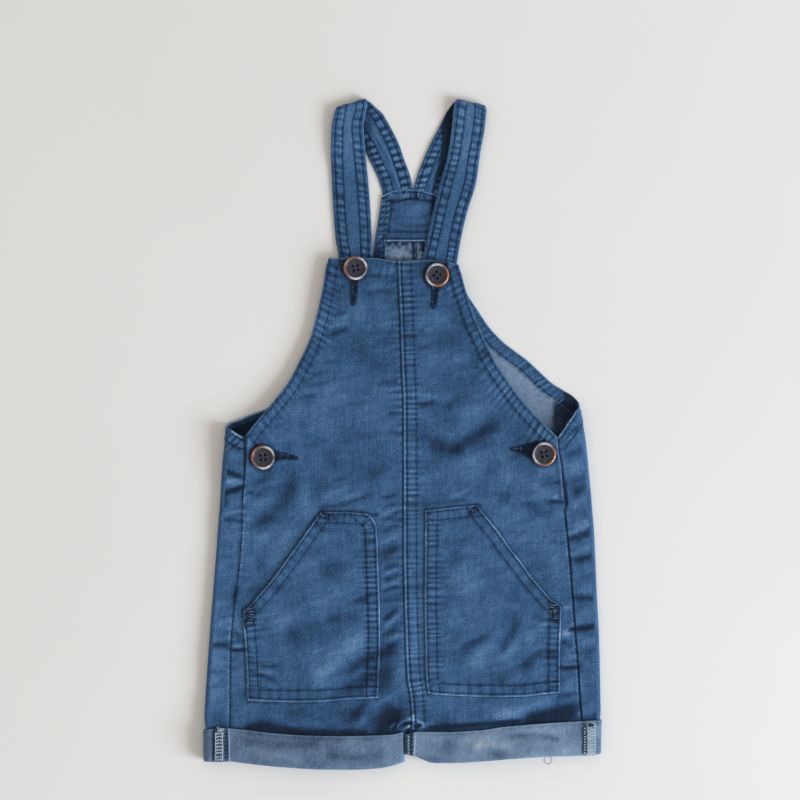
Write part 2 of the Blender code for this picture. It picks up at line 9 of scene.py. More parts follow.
import bmesh
import bpy
import numpy as np
from mathutils import Matrix, Vector, geometry
from mathutils.bvhtree import BVHTree


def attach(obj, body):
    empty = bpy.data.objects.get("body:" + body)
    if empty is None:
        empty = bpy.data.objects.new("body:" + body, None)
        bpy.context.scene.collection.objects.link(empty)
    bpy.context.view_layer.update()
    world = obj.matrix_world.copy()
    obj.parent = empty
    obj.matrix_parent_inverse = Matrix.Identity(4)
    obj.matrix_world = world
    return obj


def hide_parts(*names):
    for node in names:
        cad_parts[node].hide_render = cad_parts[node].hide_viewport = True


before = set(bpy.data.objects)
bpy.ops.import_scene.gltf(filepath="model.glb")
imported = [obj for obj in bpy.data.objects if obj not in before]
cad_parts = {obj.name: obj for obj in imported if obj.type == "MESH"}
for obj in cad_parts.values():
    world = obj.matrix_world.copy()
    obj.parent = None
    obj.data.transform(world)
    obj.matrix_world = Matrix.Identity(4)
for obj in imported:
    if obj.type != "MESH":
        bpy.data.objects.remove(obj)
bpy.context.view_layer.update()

# ------------------------------------------------------------------ sizes, mm
MM = 0.001
ORIGIN = (-0.274, -0.797)
WALL = 0.7  # one layer of cloth
CAD_WALL = 1.0
GAP = 0.3
LEG_END = 2.2
CROTCH = -216.0
CUFF_REST = 0.6
LIE, LIE_LEG = 2.0, 3.0
SIDE_ROLL, ROLL_REACH = 4.2, 20.0
LEG_LIFT, LEG_LIFT_FROM, LEG_LIFT_TO = 1.6, -194.0, -211.0

LEFT_SIDE = np.array([  # y, fold, seam
    (5.3, -132.8, -118.5), (-4.0, -133.4, -118.5), (-25, -135.5, -118.6),
    (-50, -137.0, -120.0), (-75, -139.0, -121.3), (-100, -140.8, -123.0),
    (-125, -142.8, -126.2), (-150, -144.8, -128.6), (-175, -146.5, -129.6),
    (-200, -148.2, -129.8), (-213, -148.8, -129.8), (-223, -147.8, -129.8),
    (-252, -147.4, -129.8),
])
RIGHT_SIDE = np.array([
    (20.3, 132.0, 115.2), (12.0, 134.0, 115.2), (5.3, 135.0, 115.2),
    (-4.5, 136.6, 115.2), (-25, 138.9, 117.8), (-50, 141.2, 120.3),
    (-75, 143.2, 123.2), (-100, 144.4, 125.6), (-125, 145.4, 127.5),
    (-150, 146.8, 129.4), (-175, 147.5, 131.4), (-200, 147.9, 132.9),
    (-209, 148.0, 133.6), (-218, 147.0, 134.0), (-252, 146.2, 133.5),
])
MIDDLE = np.array([  # y, front, back
    (182, -4.6, 11.3), (127, -4.1, 10.6), (84, -2.3, 10.0), (39, -0.8, 9.5),
    (24, 0.0, 9.3), (-96, 0.3, 8.0), (-126, 0.8, 7.6), (-163, 1.9, 7.2),
    (-182, 2.8, 7.0), (-201, 5.6, 6.8), (-216, 6.6, 6.6),
])
INSEAM = np.array([  # y, left, right
    (-216, 6.4, 6.8), (-220, 5.4, 6.6), (-224, 4.2, 5.7), (-226, 2.2, 5.2),
    (-229, -0.8, 4.8), (-234, -1.6, 4.6), (-242, -2.2, 4.6), (-256, -2.6, 4.4),
])
CUFF_IN = {-1: -1.0, 1: 2.6}
FRONT_EDGE = np.array([  # y, left, right
    (128, -55.6, 40.2), (124, -57.0, 41.4), (114, -58.6, 44.3),
    (106, -60.0, 46.6), (84, -65.2, 54.0), (69, -69.6, 60.8),
    (52.5, -77.3, 68.6), (38, -85.0, 78.4), (23.3, -96.0, 89.0),
    (10, -107.4, 101.1), (-4.2, -118.5, 115.2),
])
BIB_TOP = np.array([
    (-55.6, 129.8), (-21.0, 129.8), (-13.5, 128.7), (-2.0, 127.2),
    (16.0, 128.3), (28.0, 127.8), (40.2, 125.2),
])
BACK_EDGE_LEFT = np.array([  # y, x
    (5.3, -132.8), (8.3, -126.0), (11.3, -118.5), (14.3, -111.0),
    (18.0, -101.3), (24.0, -93.5), (34.0, -86.0), (45.0, -78.0),
    (58.0, -68.3), (73.0, -57.0), (88.0, -46.5), (103.0, -36.8),
    (118.0, -27.8), (131.0, -22.5), (143.0, -21.0), (156.0, -18.8),
    (177.0, -15.6),
])
BACK_EDGE_RIGHT = np.array([
    (20.3, 132.0), (25.0, 129.0), (30.0, 121.5), (36.0, 111.8), (43.5, 103.5),
    (53.3, 93.0), (60.0, 84.0), (67.0, 75.0), (78.0, 64.5), (91.5, 55.5),
    (104.3, 47.3), (127.5, 39.0), (142.5, 35.3), (157.0, 32.3), (175.5, 30.0),
])
TAB_TOP = np.array([
    (-15.6, 177.0), (-7.0, 180.8), (2.3, 181.8), (11.0, 181.4), (20.0, 179.3),
    (30.0, 175.4),
])
RETURNED = {-1: (1.2, -1.9, -4.2), 1: (15.2, 6.6, -4.5)}  # fold, half, seam
LIFTS = [  # middle, reach, height
    (-36, 117, 30, 27, 2.1), (26, 115, 30, 27, 2.2), (-104, -30, 26, 40, 2.0),
    (106, -28, 26, 40, 1.8), (-127, -4, 26, 26, 3.4), (124, 6, 26, 26, 3.6),
    (-76, -252, 50, 46, 6.2), (78, -248, 50, 46, 6.0), (4, -110, 70, 60, 0.8),
]
FOLDS = [  # from, to, half width, height
    (-74, -44, -108, -90, 9, -0.6), (92, 2, 50, -30, 10, -0.8),
    (-64, 60, -30, 10, 12, 0.6), (64, 46, 30, -6, 12, 0.5),
    (-22, -200, -4, -214, 9, -0.7),
]
CUFF_TOP = {
    -1: np.array([(-150, -223.0), (-136, -221.2), (-122, -222.2), (-96, -225.0),
                  (-70, -226.6), (-40, -227.2), (-10, -226.4), (2, -224.0)]),
    1: np.array([(3, -226.0), (12, -224.0), (28, -224.2), (58, -222.6),
                 (75, -220.2), (110, -217.4), (134, -216.0), (150, -215.2)]),
}
CUFF_END = {
    -1: np.array([(-150, -246.4), (-129, -246.2), (-118, -247.6), (-85, -250.5),
                  (-55, -252.0), (-36, -252.3), (-17, -251.2), (-6, -249.0),
                  (2, -246.0)]),
    1: np.array([(1, -240.6), (8, -242.0), (14, -244.6), (22, -247.2),
                 (30, -247.4), (58, -246.0), (80, -244.0), (103, -242.6),
                 (130, -241.8), (150, -240.4)]),
}
# left x, left y, right x, right y, height of the middle surface
STRAP_LEFT_FRONT = np.array([
    (-48.0, 108.0, -22.0, 108.0, 2.35), (-48.0, 130.0, -22.9, 130.0, 2.35),
    (-50.2, 144.0, -23.4, 144.0, 1.9), (-51.8, 163.0, -24.4, 163.0, 1.4),
    (-53.2, 189.0, -26.3, 189.0, 1.7), (-54.0, 211.0, -28.5, 211.0, 3.1),
    (-53.4, 230.0, -30.0, 231.0, 4.2),
])
STRAP_LEFT_CREASE = (-50.6, 240.4, -26.0, 247.6, 5.3)
STRAP_LEFT_BACK = np.array([
    (-45.6, 235.0, -16.0, 239.6, 0.9), (-37.0, 225.0, -10.6, 230.4, 0.9),
    (-29.0, 212.6, -3.2, 215.6, 0.9), (-24.6, 203.4, 0.6, 204.6, 0.9),
    (-18.4, 190.0, 5.4, 191.4, 0.9), (-15.6, 181.0, 7.2, 182.9, 0.9),
    (-14.6, 174.5, 8.4, 176.0, 0.75),
])
STRAP_RIGHT_FRONT = np.array([
    (12.4, 106.0, 36.8, 106.0, 2.35), (14.6, 128.0, 40.4, 128.0, 2.4),
    (18.2, 144.8, 43.0, 143.4, 3.8), (23.2, 167.0, 47.6, 163.6, 3.8),
    (29.2, 191.0, 54.6, 187.0, 3.3), (33.6, 207.0, 57.6, 208.0, 3.3),
    (36.6, 226.0, 61.0, 226.0, 4.2),
])
STRAP_RIGHT_CREASE = (38.6, 247.2, 62.4, 241.6, 5.3)
STRAP_RIGHT_BACK = np.array([
    (33.4, 241.0, 57.8, 235.6, 0.9), (27.0, 228.0, 51.4, 224.0, 0.9),
    (22.2, 219.0, 46.6, 213.4, 0.9), (15.4, 204.2, 40.6, 200.6, 0.9),
    (10.2, 190.4, 34.0, 188.6, 0.9), (8.0, 182.8, 30.4, 178.3, 0.9),
    (6.6, 176.5, 28.6, 172.0, 0.75),
])
FACING = np.array([  # y, left x, right x
    (143.4, -12.4, 33.6), (156.0, -11.4, 31.6), (168.0, -10.0, 30.2),
    (174.4, -9.2, 29.2),
])
PLACKET = {  # y, inner x, outer x
    -1: np.array([(-6.0, -98.0, -118.0), (-20.0, -88.5, -118.2),
                  (-38.0, -88.5, -118.8), (-54.0, -92.0, -119.8)]),
    1: np.array([(-6.0, 97.0, 115.4), (-20.0, 86.5, 117.0),
                 (-38.0, 86.5, 118.9), (-54.0, 90.0, 120.6)]),
}
BUTTONS = [  # name, x, y, gap over the cloth, side
    ("strap_left", -35.5, 122.5, 0.5, -1), ("strap_right", 25.4, 117.3, 0.5, 1),
    ("side_left", -104.6, -18.9, 0.8, -1), ("side_right", 105.3, -16.4, 0.8, 1),
]
BUTTON_D, BUTTON_T = 18.0, 3.0

# pockets: the outline as its five edges, each from inner to outer or upwards
POCKET = {
    -1: {
        "bottom": [(-19.2, -198.4), (-40.5, -199.5), (-58.1, -201.0),
                   (-77.3, -201.6), (-96.0, -201.2), (-115.6, -200.2)],
        "inner": [(-19.4, -201.0), (-18.4, -182.3), (-17.6, -163.5),
                  (-17.5, -149.3), (-18.0, -124.5), (-18.8, -100.5),
                  (-19.5, -80.3), (-19.9, -72.0), (-21.2, -67.6),
                  (-24.0, -63.6), (-27.5, -61.0), (-31.0, -59.0)],
        "top": [(-19.0, -62.0), (-27.0, -61.2), (-43.5, -59.8), (-62.0, -60.2)],
        "slant": [(-119.5, -133.5), (-115.0, -130.2), (-109.7, -124.5),
                  (-101.6, -115.2), (-93.5, -104.8), (-85.5, -93.7),
                  (-77.3, -82.3), (-69.0, -70.6), (-64.0, -63.6),
                  (-60.5, -58.5)],
        "outer": [(-115.9, -202.0), (-116.6, -180.0), (-117.6, -158.3),
                  (-118.9, -146.3), (-119.5, -133.5)],
    },
    1: {
        "bottom": [(19.4, -194.6), (22.5, -195.6), (36.0, -196.6),
                   (54.0, -197.3), (72.8, -197.6), (91.9, -197.1),
                   (104.3, -195.7), (116.9, -194.4)],
        "inner": [(19.4, -197.0), (18.7, -192.0), (17.4, -182.3),
                  (17.2, -163.5), (16.5, -132.0), (16.8, -87.8),
                  (17.0, -56.0)],
        "top": [(16.9, -58.8), (48.8, -55.2), (57.5, -54.6)],
        "slant": [(118.0, -131.0), (116.2, -129.0), (111.0, -125.6),
                  (106.5, -120.8), (97.5, -110.6), (88.5, -98.3),
                  (79.8, -87.0), (71.0, -74.3), (57.9, -58.5),
                  (55.0, -54.0)],
        "outer": [(116.8, -198.0), (116.9, -163.5), (117.8, -136.5),
                  (118.0, -131.0)],
    },
}

# creases: points, half width, height (- is a trough), painted light and shade (- is darker)
CREASES = [
    # bib
    (((-28.5, 116.2), (-17.2, 117), (-3.8, 116.2)), 1.2, -0.18, -0.24),
    (((-30.8, 108), (-17.2, 108.8), (-3.8, 108.8)), 2.25, 0.15, 0.12),
    (((-30, 103.5), (-17.2, 105), (-3.8, 105)), 1.12, -0.17, -0.24),
    (((6.8, 103.5), (12.8, 102.8), (20.2, 101.2)), 1.5, -0.14, -0.16),
    (((27.8, 105), (33.8, 105), (39.8, 102)), 1.2, -0.12, -0.16),
    (((-39.8, 85.5), (-28.5, 91.5), (-6, 92.2)), 5.25, 0.41, 0.17),
    (((-38.2, 82.5), (-33.8, 85.5), (-27.8, 82.5)), 4.5, 0.22, 0.1),
    (((-52.5, 83.2), (-45.8, 84.8), (-38.2, 87)), 1.8, 0.19, 0.18),
    (((-54, 87), (-47.2, 88.5), (-40.5, 90.8)), 1.12, -0.17, -0.24),
    (((-57, 70.5), (-48.8, 75), (-39.8, 78)), 2.25, -0.47, -0.38),
    (((-56.2, 78), (-49.5, 80.2), (-42, 82.5)), 1.5, 0.16, 0.18),
    (((-56.2, 61.5), (-39.8, 64.5), (-23.2, 61.5)), 6, -0.38, -0.14),
    (((-41.2, 61.5), (-18.8, 54), (-3.8, 48)), 5.25, -0.37, -0.15),
    (((-20.2, 69), (-12, 69.8), (-3.8, 70.5)), 3.75, -0.3, -0.16),
    (((-27.8, 52.5), (-21.8, 51), (-14.2, 49.5)), 3, -0.31, -0.2),
    (((-21.8, 80.2), (-13.5, 78), (-5.2, 75.8)), 5.25, 0.27, 0.11),
    (((-18.8, 36.8), (-9.8, 37.5), (-1.5, 38.2)), 1.5, -0.3, -0.34),
    (((-21.8, 30), (-12.8, 30), (-3.8, 30)), 3, 0.2, 0.13),
    (((-14.2, 13.5), (-8.2, 14.2), (-0.8, 15)), 1.65, -0.35, -0.36),
    (((-12.8, 0), (-7.5, 0.8), (-1.5, 1.5)), 1.35, -0.13, -0.16),
    (((-71.2, 33.8), (-62.2, 36), (-53.2, 37.5)), 1.5, -0.18, -0.2),
    (((-63.8, 51), (-56.2, 52.5), (-45.8, 52.5)), 1.2, -0.16, -0.22),
    (((-68.2, 42), (-60.8, 44.2), (-53.2, 45.8)), 1.2, -0.15, -0.2),
    (((-80.2, 24.8), (-72.8, 27), (-63.8, 28.5)), 1.5, -0.2, -0.22),
    (((-68.2, 22.5), (-54.8, 27.8), (-42, 33)), 7.5, 0.49, 0.15),
    (((-84.8, 5.2), (-77.2, 15), (-68.2, 21)), 5.25, 0.24, 0.1),
    (((-48.8, 46.5), (-43.5, 45.8), (-36.8, 44.2)), 4.5, 0.22, 0.1),
    (((33.8, 83.2), (42.8, 81), (51.8, 78)), 2.25, -0.25, -0.2),
    (((17.2, 64.5), (27.8, 70.5), (47.2, 65.2)), 5.25, -0.54, -0.22),
    (((9.8, 75.8), (13.5, 75), (18, 73.5)), 2.25, -0.17, -0.14),
    (((9.8, 61.5), (15.8, 63), (23.2, 66)), 1.88, -0.21, -0.2),
    (((9.8, 80.2), (20.2, 85.5), (39.8, 87)), 3.75, 0.32, 0.17),
    (((12.8, 52.5), (27.8, 58.5), (51.8, 53.2)), 6, 0.46, 0.17),
    (((36.8, 34.5), (50.2, 36), (63.8, 40.5)), 3.75, -0.28, -0.15),
    (((9, 20.2), (17.2, 21), (26.2, 22.5)), 1.65, -0.33, -0.34),
    (((30, 19.5), (33.8, 20.2), (38.2, 21)), 3, -0.41, -0.26),
    (((13.5, 29.2), (18.8, 30.8), (24, 31.5)), 1.35, -0.13, -0.16),
    (((9, 24.8), (16.5, 26.2), (24.8, 27.8)), 1.5, 0.14, 0.16),
    (((35.2, 6), (53.2, 15.8), (68.2, 25.5)), 6.75, 0.6, 0.2),
    (((56.2, 64.5), (60.8, 60), (66, 54.8)), 2.25, -0.27, -0.22),
    (((50.2, 49.5), (56.2, 48), (63.8, 45)), 1.5, -0.2, -0.22),
    (((43.5, 76.5), (48.8, 73.5), (54, 70.5)), 1.2, -0.13, -0.18),
    (((-43.5, 5.2), (-35.2, 0), (-26.2, -6)), 4.5, -0.22, -0.1),
    # mid right
    (((15.8, -6.8), (27.8, -10.5), (39, -11.2), (50.2, -6), (61.5, 1.5), (74.2, 11.2)), 4.88, -1.43, -0.62),
    (((32.2, -15), (39.8, -14.2), (47.2, -10.5)), 3.75, -0.93, -0.5),
    (((7.5, -3.8), (15.8, -4.5), (24.8, -6.8)), 3, -0.34, -0.22),
    (((15.8, 0.8), (35.2, 0), (47.2, 6), (57.8, 12.8)), 3.75, 0.22, 0.12),
    (((33.8, -30), (50.2, -23.2), (66.8, -28.5)), 6.75, 0.66, 0.22),
    (((77.2, -42), (75.8, -48), (72, -54.8)), 3.75, -0.63, -0.34),
    (((72.8, -34.5), (78.8, -32.2), (85.5, -30.8)), 4.5, 0.32, 0.15),
    (((87.8, -50.2), (97.5, -56.2), (106.5, -60.8), (117, -55.5)), 3.38, -0.55, -0.32),
    (((101.2, -38.2), (107.2, -37.5), (114.8, -35.2)), 2.62, -0.25, -0.18),
    (((96.8, -27.8), (105.8, -27.8), (115.5, -26.2)), 3, 0.28, 0.18),
    (((93.8, -39), (102.8, -43.5), (116.2, -45.8)), 3, 0.25, 0.16),
    (((107.2, -77.2), (114, -92.2), (118.5, -112.5)), 6, 0.54, 0.2),
    (((83.2, -13.5), (87.8, -19.5), (95.2, -27)), 4.5, -0.37, -0.17),
    (((80.2, -6), (87.8, -4.5), (96.8, -3)), 3, -0.34, -0.22),
    (((105, -54.8), (110.2, -53.2), (118.5, -51.8)), 1.35, -0.2, -0.24),
    (((108.8, -83.2), (114.8, -81.8), (122.2, -83.2)), 1.5, -0.2, -0.22),
    (((20.2, -48), (27.8, -46.5), (35.2, -47.2)), 1.65, -0.15, -0.16),
    (((33.8, -49.5), (39.8, -46.5), (47.2, -45)), 1.5, 0.13, 0.14),
    (((11.2, -54.8), (27.8, -52.5), (50.2, -50.2)), 1.65, -0.23, -0.24),
    (((12.8, 22.5), (31.5, 21), (50.2, 25.5)), 4.5, -0.26, -0.12),
    # side right
    (((118.5, -16.5), (128.2, -15), (136.5, -10.5)), 2.62, -0.7, -0.5),
    (((120.8, -6.8), (128.2, 2.2), (135, 6)), 1.5, -0.23, -0.26),
    (((120.8, -6.8), (130.5, -1.5), (137.2, 0)), 2.25, 0.32, 0.26),
    (((119.2, -32.2), (129, -27.8), (139.5, -22.5)), 3.75, 0.45, 0.24),
    (((122.2, -46.5), (129.8, -42.8), (138.8, -37.5)), 3.75, -0.89, -0.48),
    (((125.2, -35.2), (131.2, -35.2), (138.8, -33.8)), 1.88, -0.17, -0.16),
    (((121.5, -57), (131.2, -53.2), (141, -46.5)), 3, 0.34, 0.22),
    (((123.8, -65.2), (131.2, -62.2), (141.8, -59.2)), 3.75, -0.28, -0.15),
    (((123.8, -76.5), (132.8, -72), (143.2, -66)), 2.25, 0.32, 0.26),
    (((123.8, -80.2), (131.2, -78.8), (144, -74.2)), 1.88, -0.45, -0.42),
    (((124.5, -90), (133.5, -88.5), (144.8, -84.8)), 3, 0.37, 0.24),
    (((126, -97.5), (134.2, -95.2), (145.5, -93)), 2.62, -0.73, -0.52),
    (((127.5, -111.8), (134.2, -109.5), (145.5, -107.2)), 3, -0.22, -0.14),
    (((128.2, -120), (135, -119.2), (146.2, -117.8)), 2.25, 0.17, 0.14),
    (((127.5, -126.8), (134.2, -124.5), (147, -123)), 2.62, -0.7, -0.5),
    (((130.5, -135), (137.2, -134.2), (147, -132.8)), 3.75, 0.22, 0.12),
    (((121.5, -148.5), (129, -147), (136.5, -146.2), (147.8, -144)), 2.25, -0.64, -0.52),
    (((131.2, -156.8), (138.8, -156), (147.8, -154.5)), 3, 0.19, 0.12),
    (((117, -177.8), (123.8, -176.2), (132, -174.8)), 2.25, -0.5, -0.4),
    (((116.2, -171), (122.2, -169.5), (129.8, -168)), 1.88, 0.15, 0.14),
    (((117.8, -155.2), (122.2, -158.2), (129, -160.5)), 1.88, -0.24, -0.22),
    (((116.2, -152.2), (122.2, -152.2), (128.2, -151.5)), 1.8, 0.17, 0.16),
    (((116.2, -198), (123.8, -195.8), (132.8, -194.2)), 2.25, -0.42, -0.34),
    (((133.5, -189), (140.2, -189), (147.8, -188.2)), 1.88, -0.19, -0.18),
    (((138.8, -211.5), (144, -211.5), (150, -212.2)), 2.25, -0.42, -0.34),
    (((134.2, -165), (141, -163.5), (147.8, -163.5)), 1.88, -0.21, -0.2),
    # lower right
    (((86.2, -216.8), (102.8, -211.5), (117.8, -207), (135.8, -204)), 4.5, -2.05, -0.95),
    (((106.5, -213.8), (117.8, -212.2), (134.2, -211.5)), 3.75, -1.49, -0.8),
    (((63.8, -213.8), (87.8, -207), (106.5, -201), (122.2, -193.5), (129.8, -184.5)), 5.25, 0.63, 0.26),
    (((15.8, -221.2), (35.2, -219.8), (57.8, -218.2), (90.8, -215.2)), 1.95, -1.05, -0.95),
    (((18.8, -219), (27.8, -217.5), (39.8, -217.5)), 3, -0.47, -0.3),
    (((26.2, -205.5), (30, -210), (33.8, -216)), 3.75, -0.3, -0.16),
    (((47.2, -214.5), (54.8, -213), (63.8, -210)), 3.75, -0.34, -0.18),
    (((40.5, -163.5), (54, -156.8), (67.5, -150)), 3, -0.59, -0.38),
    (((49.5, -177), (56.2, -167.2), (65.2, -158.2), (72, -152.2)), 4.12, 0.68, 0.34),
    (((71.2, -167.2), (78, -156.8), (82.5, -147), (86.2, -135.8)), 3.38, -0.79, -0.46),
    (((83.2, -130.5), (84.8, -123), (85.5, -115.5)), 4.5, -0.28, -0.13),
    (((67.5, -171.8), (77.2, -165.8), (83.2, -156), (84.8, -151.5)), 3.38, 0.58, 0.34),
    (((91.5, -159.8), (94.5, -153.8), (96.8, -146.2)), 3, 0.37, 0.24),
    (((82.5, -180.8), (91.5, -174.8), (100.5, -167.2), (109.5, -164.2)), 4.5, -0.95, -0.44),
    (((60, -185.2), (71.2, -183.8), (83.2, -180.8)), 3.75, -0.41, -0.22),
    (((105, -165.8), (110.2, -165.8), (117, -168)), 2.25, -0.32, -0.26),
    (((93, -138.8), (98.2, -137.2), (105, -135)), 3, -0.53, -0.34),
    (((98.2, -146.2), (103.5, -144.8), (108.8, -143.2)), 2.25, 0.27, 0.22),
    (((75, -116.2), (81.8, -117), (89.2, -118.5)), 3, -0.25, -0.16),
    (((31.5, -114.8), (46.5, -111), (66.8, -105)), 9.75, 0.56, 0.14),
    (((30.8, -133.5), (36.8, -135), (44.2, -138)), 6.75, 0.36, 0.12),
    (((33.8, -87), (39, -90), (45.8, -93)), 6, -0.43, -0.16),
    (((39.8, -167.2), (42, -174), (43.5, -180)), 4.5, -0.26, -0.12),
    (((93.8, -183), (101.2, -180), (108.8, -177)), 3.75, 0.26, 0.14),
    (((50.2, -126), (57.8, -130.5), (63.8, -139.5)), 5.25, -0.24, -0.1),
    # mid left
    (((-79.5, -27), (-83.2, -40.5), (-88.5, -51), (-96.8, -60.8), (-106.5, -68.2), (-118.5, -78.8)), 6.15, -1.27, -0.46),
    (((-111.8, -70.5), (-105.8, -66), (-95.2, -60)), 3.75, -0.63, -0.34),
    (((-75, -27), (-76.5, -42), (-73.5, -54), (-80.2, -67.5)), 6, 0.71, 0.26),
    (((-67.5, -51.8), (-52.5, -45), (-38.2, -39.8)), 3.75, 0.37, 0.2),
    (((-69.8, -38.2), (-60.8, -41.2), (-49.5, -39.8)), 4.5, -0.32, -0.15),
    (((-30.8, -33.8), (-20.2, -30), (-9.8, -24.8)), 3.75, -0.6, -0.32),
    (((-60.8, -23.2), (-51.8, -20.2), (-42.8, -17.2)), 4.5, -0.32, -0.15),
    (((-64.5, -56.2), (-48.8, -54.8), (-36, -51), (-18.8, -45)), 1.88, -0.3, -0.28),
    (((-47.2, -49.5), (-38.2, -47.2), (-27.8, -44.2)), 2.25, 0.16, 0.13),
    (((-18, -50.2), (-9.8, -48), (-0.8, -45)), 1.88, -0.3, -0.28),
    (((-17.2, -57), (-9.8, -55.5), (-3, -54)), 1.5, -0.18, -0.2),
    (((-17.2, -42), (-11.2, -39), (-5.2, -36)), 3.75, 0.24, 0.13),
    (((-96.8, -27), (-104.2, -34.5), (-114.8, -41.2)), 3, -0.5, -0.32),
    (((-93.8, -43.5), (-104.2, -51.8), (-114.8, -63.8)), 4.5, 0.37, 0.17),
    (((-117, -48), (-111, -47.2), (-104.2, -45.8)), 1.35, -0.25, -0.3),
    (((-80.2, -6), (-84.8, -10.5), (-89.2, -15)), 2.25, -0.2, -0.16),
    (((-75, 10.5), (-75, 1.5), (-75.8, -7.5)), 3.75, -0.24, -0.13),
    (((-83.2, -66), (-87, -75), (-92.2, -87)), 4.5, 0.37, 0.17),
    (((-107.2, -93), (-103.5, -88.5), (-99.8, -82.5)), 3.75, -0.3, -0.16),
    (((-117, -28.5), (-111.8, -27), (-105.8, -30)), 3, 0.22, 0.14),
    (((-54.8, 9), (-47.2, 1.5), (-38.2, -6)), 3.75, -0.22, -0.12),
    (((-15.8, -85.5), (-8.2, -86.2), (-0.8, -84.8)), 3, -0.23, -0.15),
    # side left
    (((-134.2, -11.2), (-126.8, -10.5), (-118.5, -9.8)), 3, -0.53, -0.34),
    (((-132.8, -18), (-126, -17.2), (-118.5, -15.8)), 2.25, 0.17, 0.14),
    (((-135.8, -27.8), (-126.8, -30.8), (-117.8, -35.2)), 2.25, -0.64, -0.52),
    (((-135.8, -36.8), (-128.2, -37.5), (-120, -36.8)), 2.25, 0.22, 0.18),
    (((-138.8, -49.5), (-131.2, -43.5), (-118.5, -41.2)), 2.62, -1.01, -0.72),
    (((-138, -52.5), (-133.5, -51.8), (-128.2, -51)), 3, -0.53, -0.34),
    (((-135.8, -57.8), (-128.2, -57), (-120, -57)), 3, 0.28, 0.18),
    (((-135.8, -66), (-128.2, -66), (-120, -65.2)), 2.25, -0.22, -0.18),
    (((-137.2, -75), (-129.8, -75.8), (-121.5, -76.5)), 3, 0.19, 0.12),
    (((-138.8, -93), (-131.2, -93.8), (-122.2, -93)), 2.25, -0.15, -0.12),
    (((-125.2, -113.2), (-125.2, -120), (-126.8, -128.2)), 1.88, -0.54, -0.5),
    (((-119.2, -120.8), (-114.8, -118.5), (-109.5, -116.2)), 2.25, -0.32, -0.26),
    (((-111.8, -101.2), (-106.5, -99), (-101.2, -96)), 3.75, -0.48, -0.26),
    (((-144.8, -126), (-137.2, -126.8), (-128.2, -126.8)), 3, 0.19, 0.12),
    (((-145.5, -160.5), (-137.2, -159.8), (-128.2, -159)), 2.25, -0.32, -0.26),
    (((-129, -152.2), (-123, -155.2), (-115.5, -156)), 1.88, -0.3, -0.28),
    (((-129, -164.2), (-123.8, -162.8), (-117, -162)), 1.88, -0.36, -0.34),
    (((-144.8, -172.5), (-138, -171.8), (-130.5, -171)), 4.5, 0.26, 0.12),
    (((-146.2, -196.5), (-138.8, -195), (-130.5, -193.5)), 4.5, 0.3, 0.14),
    (((-146.2, -189.8), (-139.5, -189.8), (-132, -189.8)), 2.25, -0.17, -0.14),
    (((-148.5, -213), (-140.2, -213.8), (-131.2, -215.2)), 3.75, -0.63, -0.34),
    (((-147.8, -180), (-139.5, -179.2), (-130.5, -178.5)), 1.5, -0.18, -0.2),
    # lower left
    (((-102.8, -150), (-92.2, -141.8), (-77.2, -134.2)), 4.88, 0.69, 0.3),
    (((-93.8, -158.2), (-77.2, -150.8), (-53.2, -146.2)), 6.75, -0.89, -0.3),
    (((-60, -144), (-45.8, -138), (-29.2, -134.2)), 3.75, -0.78, -0.42),
    (((-69.8, -189), (-54.8, -174.8), (-43.5, -163.5), (-35.2, -155.2), (-24.8, -144.8)), 6, 0.92, 0.34),
    (((-45, -180.8), (-32.2, -173.2), (-19.5, -167.2), (-2.2, -159.8)), 4.12, -1.41, -0.7),
    (((-39.8, -183), (-33.8, -180), (-26.2, -176.2)), 2.25, 0.17, 0.14),
    (((-50.2, -196.5), (-33.8, -187.5), (-21, -180), (-11.2, -174)), 6, -1.68, -0.62),
    (((-20.2, -198.8), (-13.5, -183.8), (-9, -169.5)), 6.75, -1.64, -0.55),
    (((-26.2, -226.5), (-15.8, -220.5), (-6, -213), (3, -204)), 6.75, -2.83, -0.95),
    (((-17.2, -216), (-9.8, -211.5), (-2.2, -206.2)), 4.5, -1.29, -0.6),
    (((-33.8, -224.2), (-27.8, -210.8), (-17.2, -201.8), (-2.2, -194.2)), 3, 0.47, 0.3),
    (((-5.2, -222), (0.8, -217.5), (6.8, -216)), 1.12, -0.57, -0.8),
    (((-2.2, -224.2), (4.5, -219.8), (11.2, -218.2)), 1.05, 0.34, 0.5),
    (((5.2, -222.8), (11.2, -219), (17.2, -221.2)), 1.12, -0.57, -0.8),
    (((2.2, -215.2), (8.2, -212.2), (15.8, -214.5)), 1.05, 0.34, 0.5),
    (((6.8, -209.2), (11.2, -213), (16.5, -217.5)), 0.9, -0.36, -0.6),
    (((-39.8, -217.5), (-31.5, -205.5), (-22.5, -197.2)), 3.38, -0.72, -0.42),
    (((-7.5, -189), (-3, -180), (0.8, -171)), 4.12, 0.52, 0.26),
    (((-122.2, -222), (-108.8, -219.8), (-92.2, -221.2), (-77.2, -223.5), (-47.2, -224.2), (-23.2, -225)), 3, -1.56, -1),
    (((-113.2, -217.5), (-104.2, -216.8), (-93.8, -219)), 3.75, -0.93, -0.5),
    (((-90.8, -213), (-83.2, -210.8), (-74.2, -209.2)), 4.5, -0.47, -0.22),
    (((-67.5, -102.8), (-54.8, -102), (-38.2, -96)), 5.25, -0.73, -0.3),
    (((-78.8, -123.8), (-54.8, -120), (-38.2, -111)), 6.75, 0.42, 0.14),
    (((-43.5, -108), (-36, -106.5), (-27, -104.2)), 3, 0.22, 0.14),
    (((-38.2, -127.5), (-31.5, -125.2), (-23.2, -124.5)), 1.88, -0.36, -0.34),
    (((-116.2, -174), (-105.8, -174.8), (-90.8, -175.5)), 1.5, -0.25, -0.28),
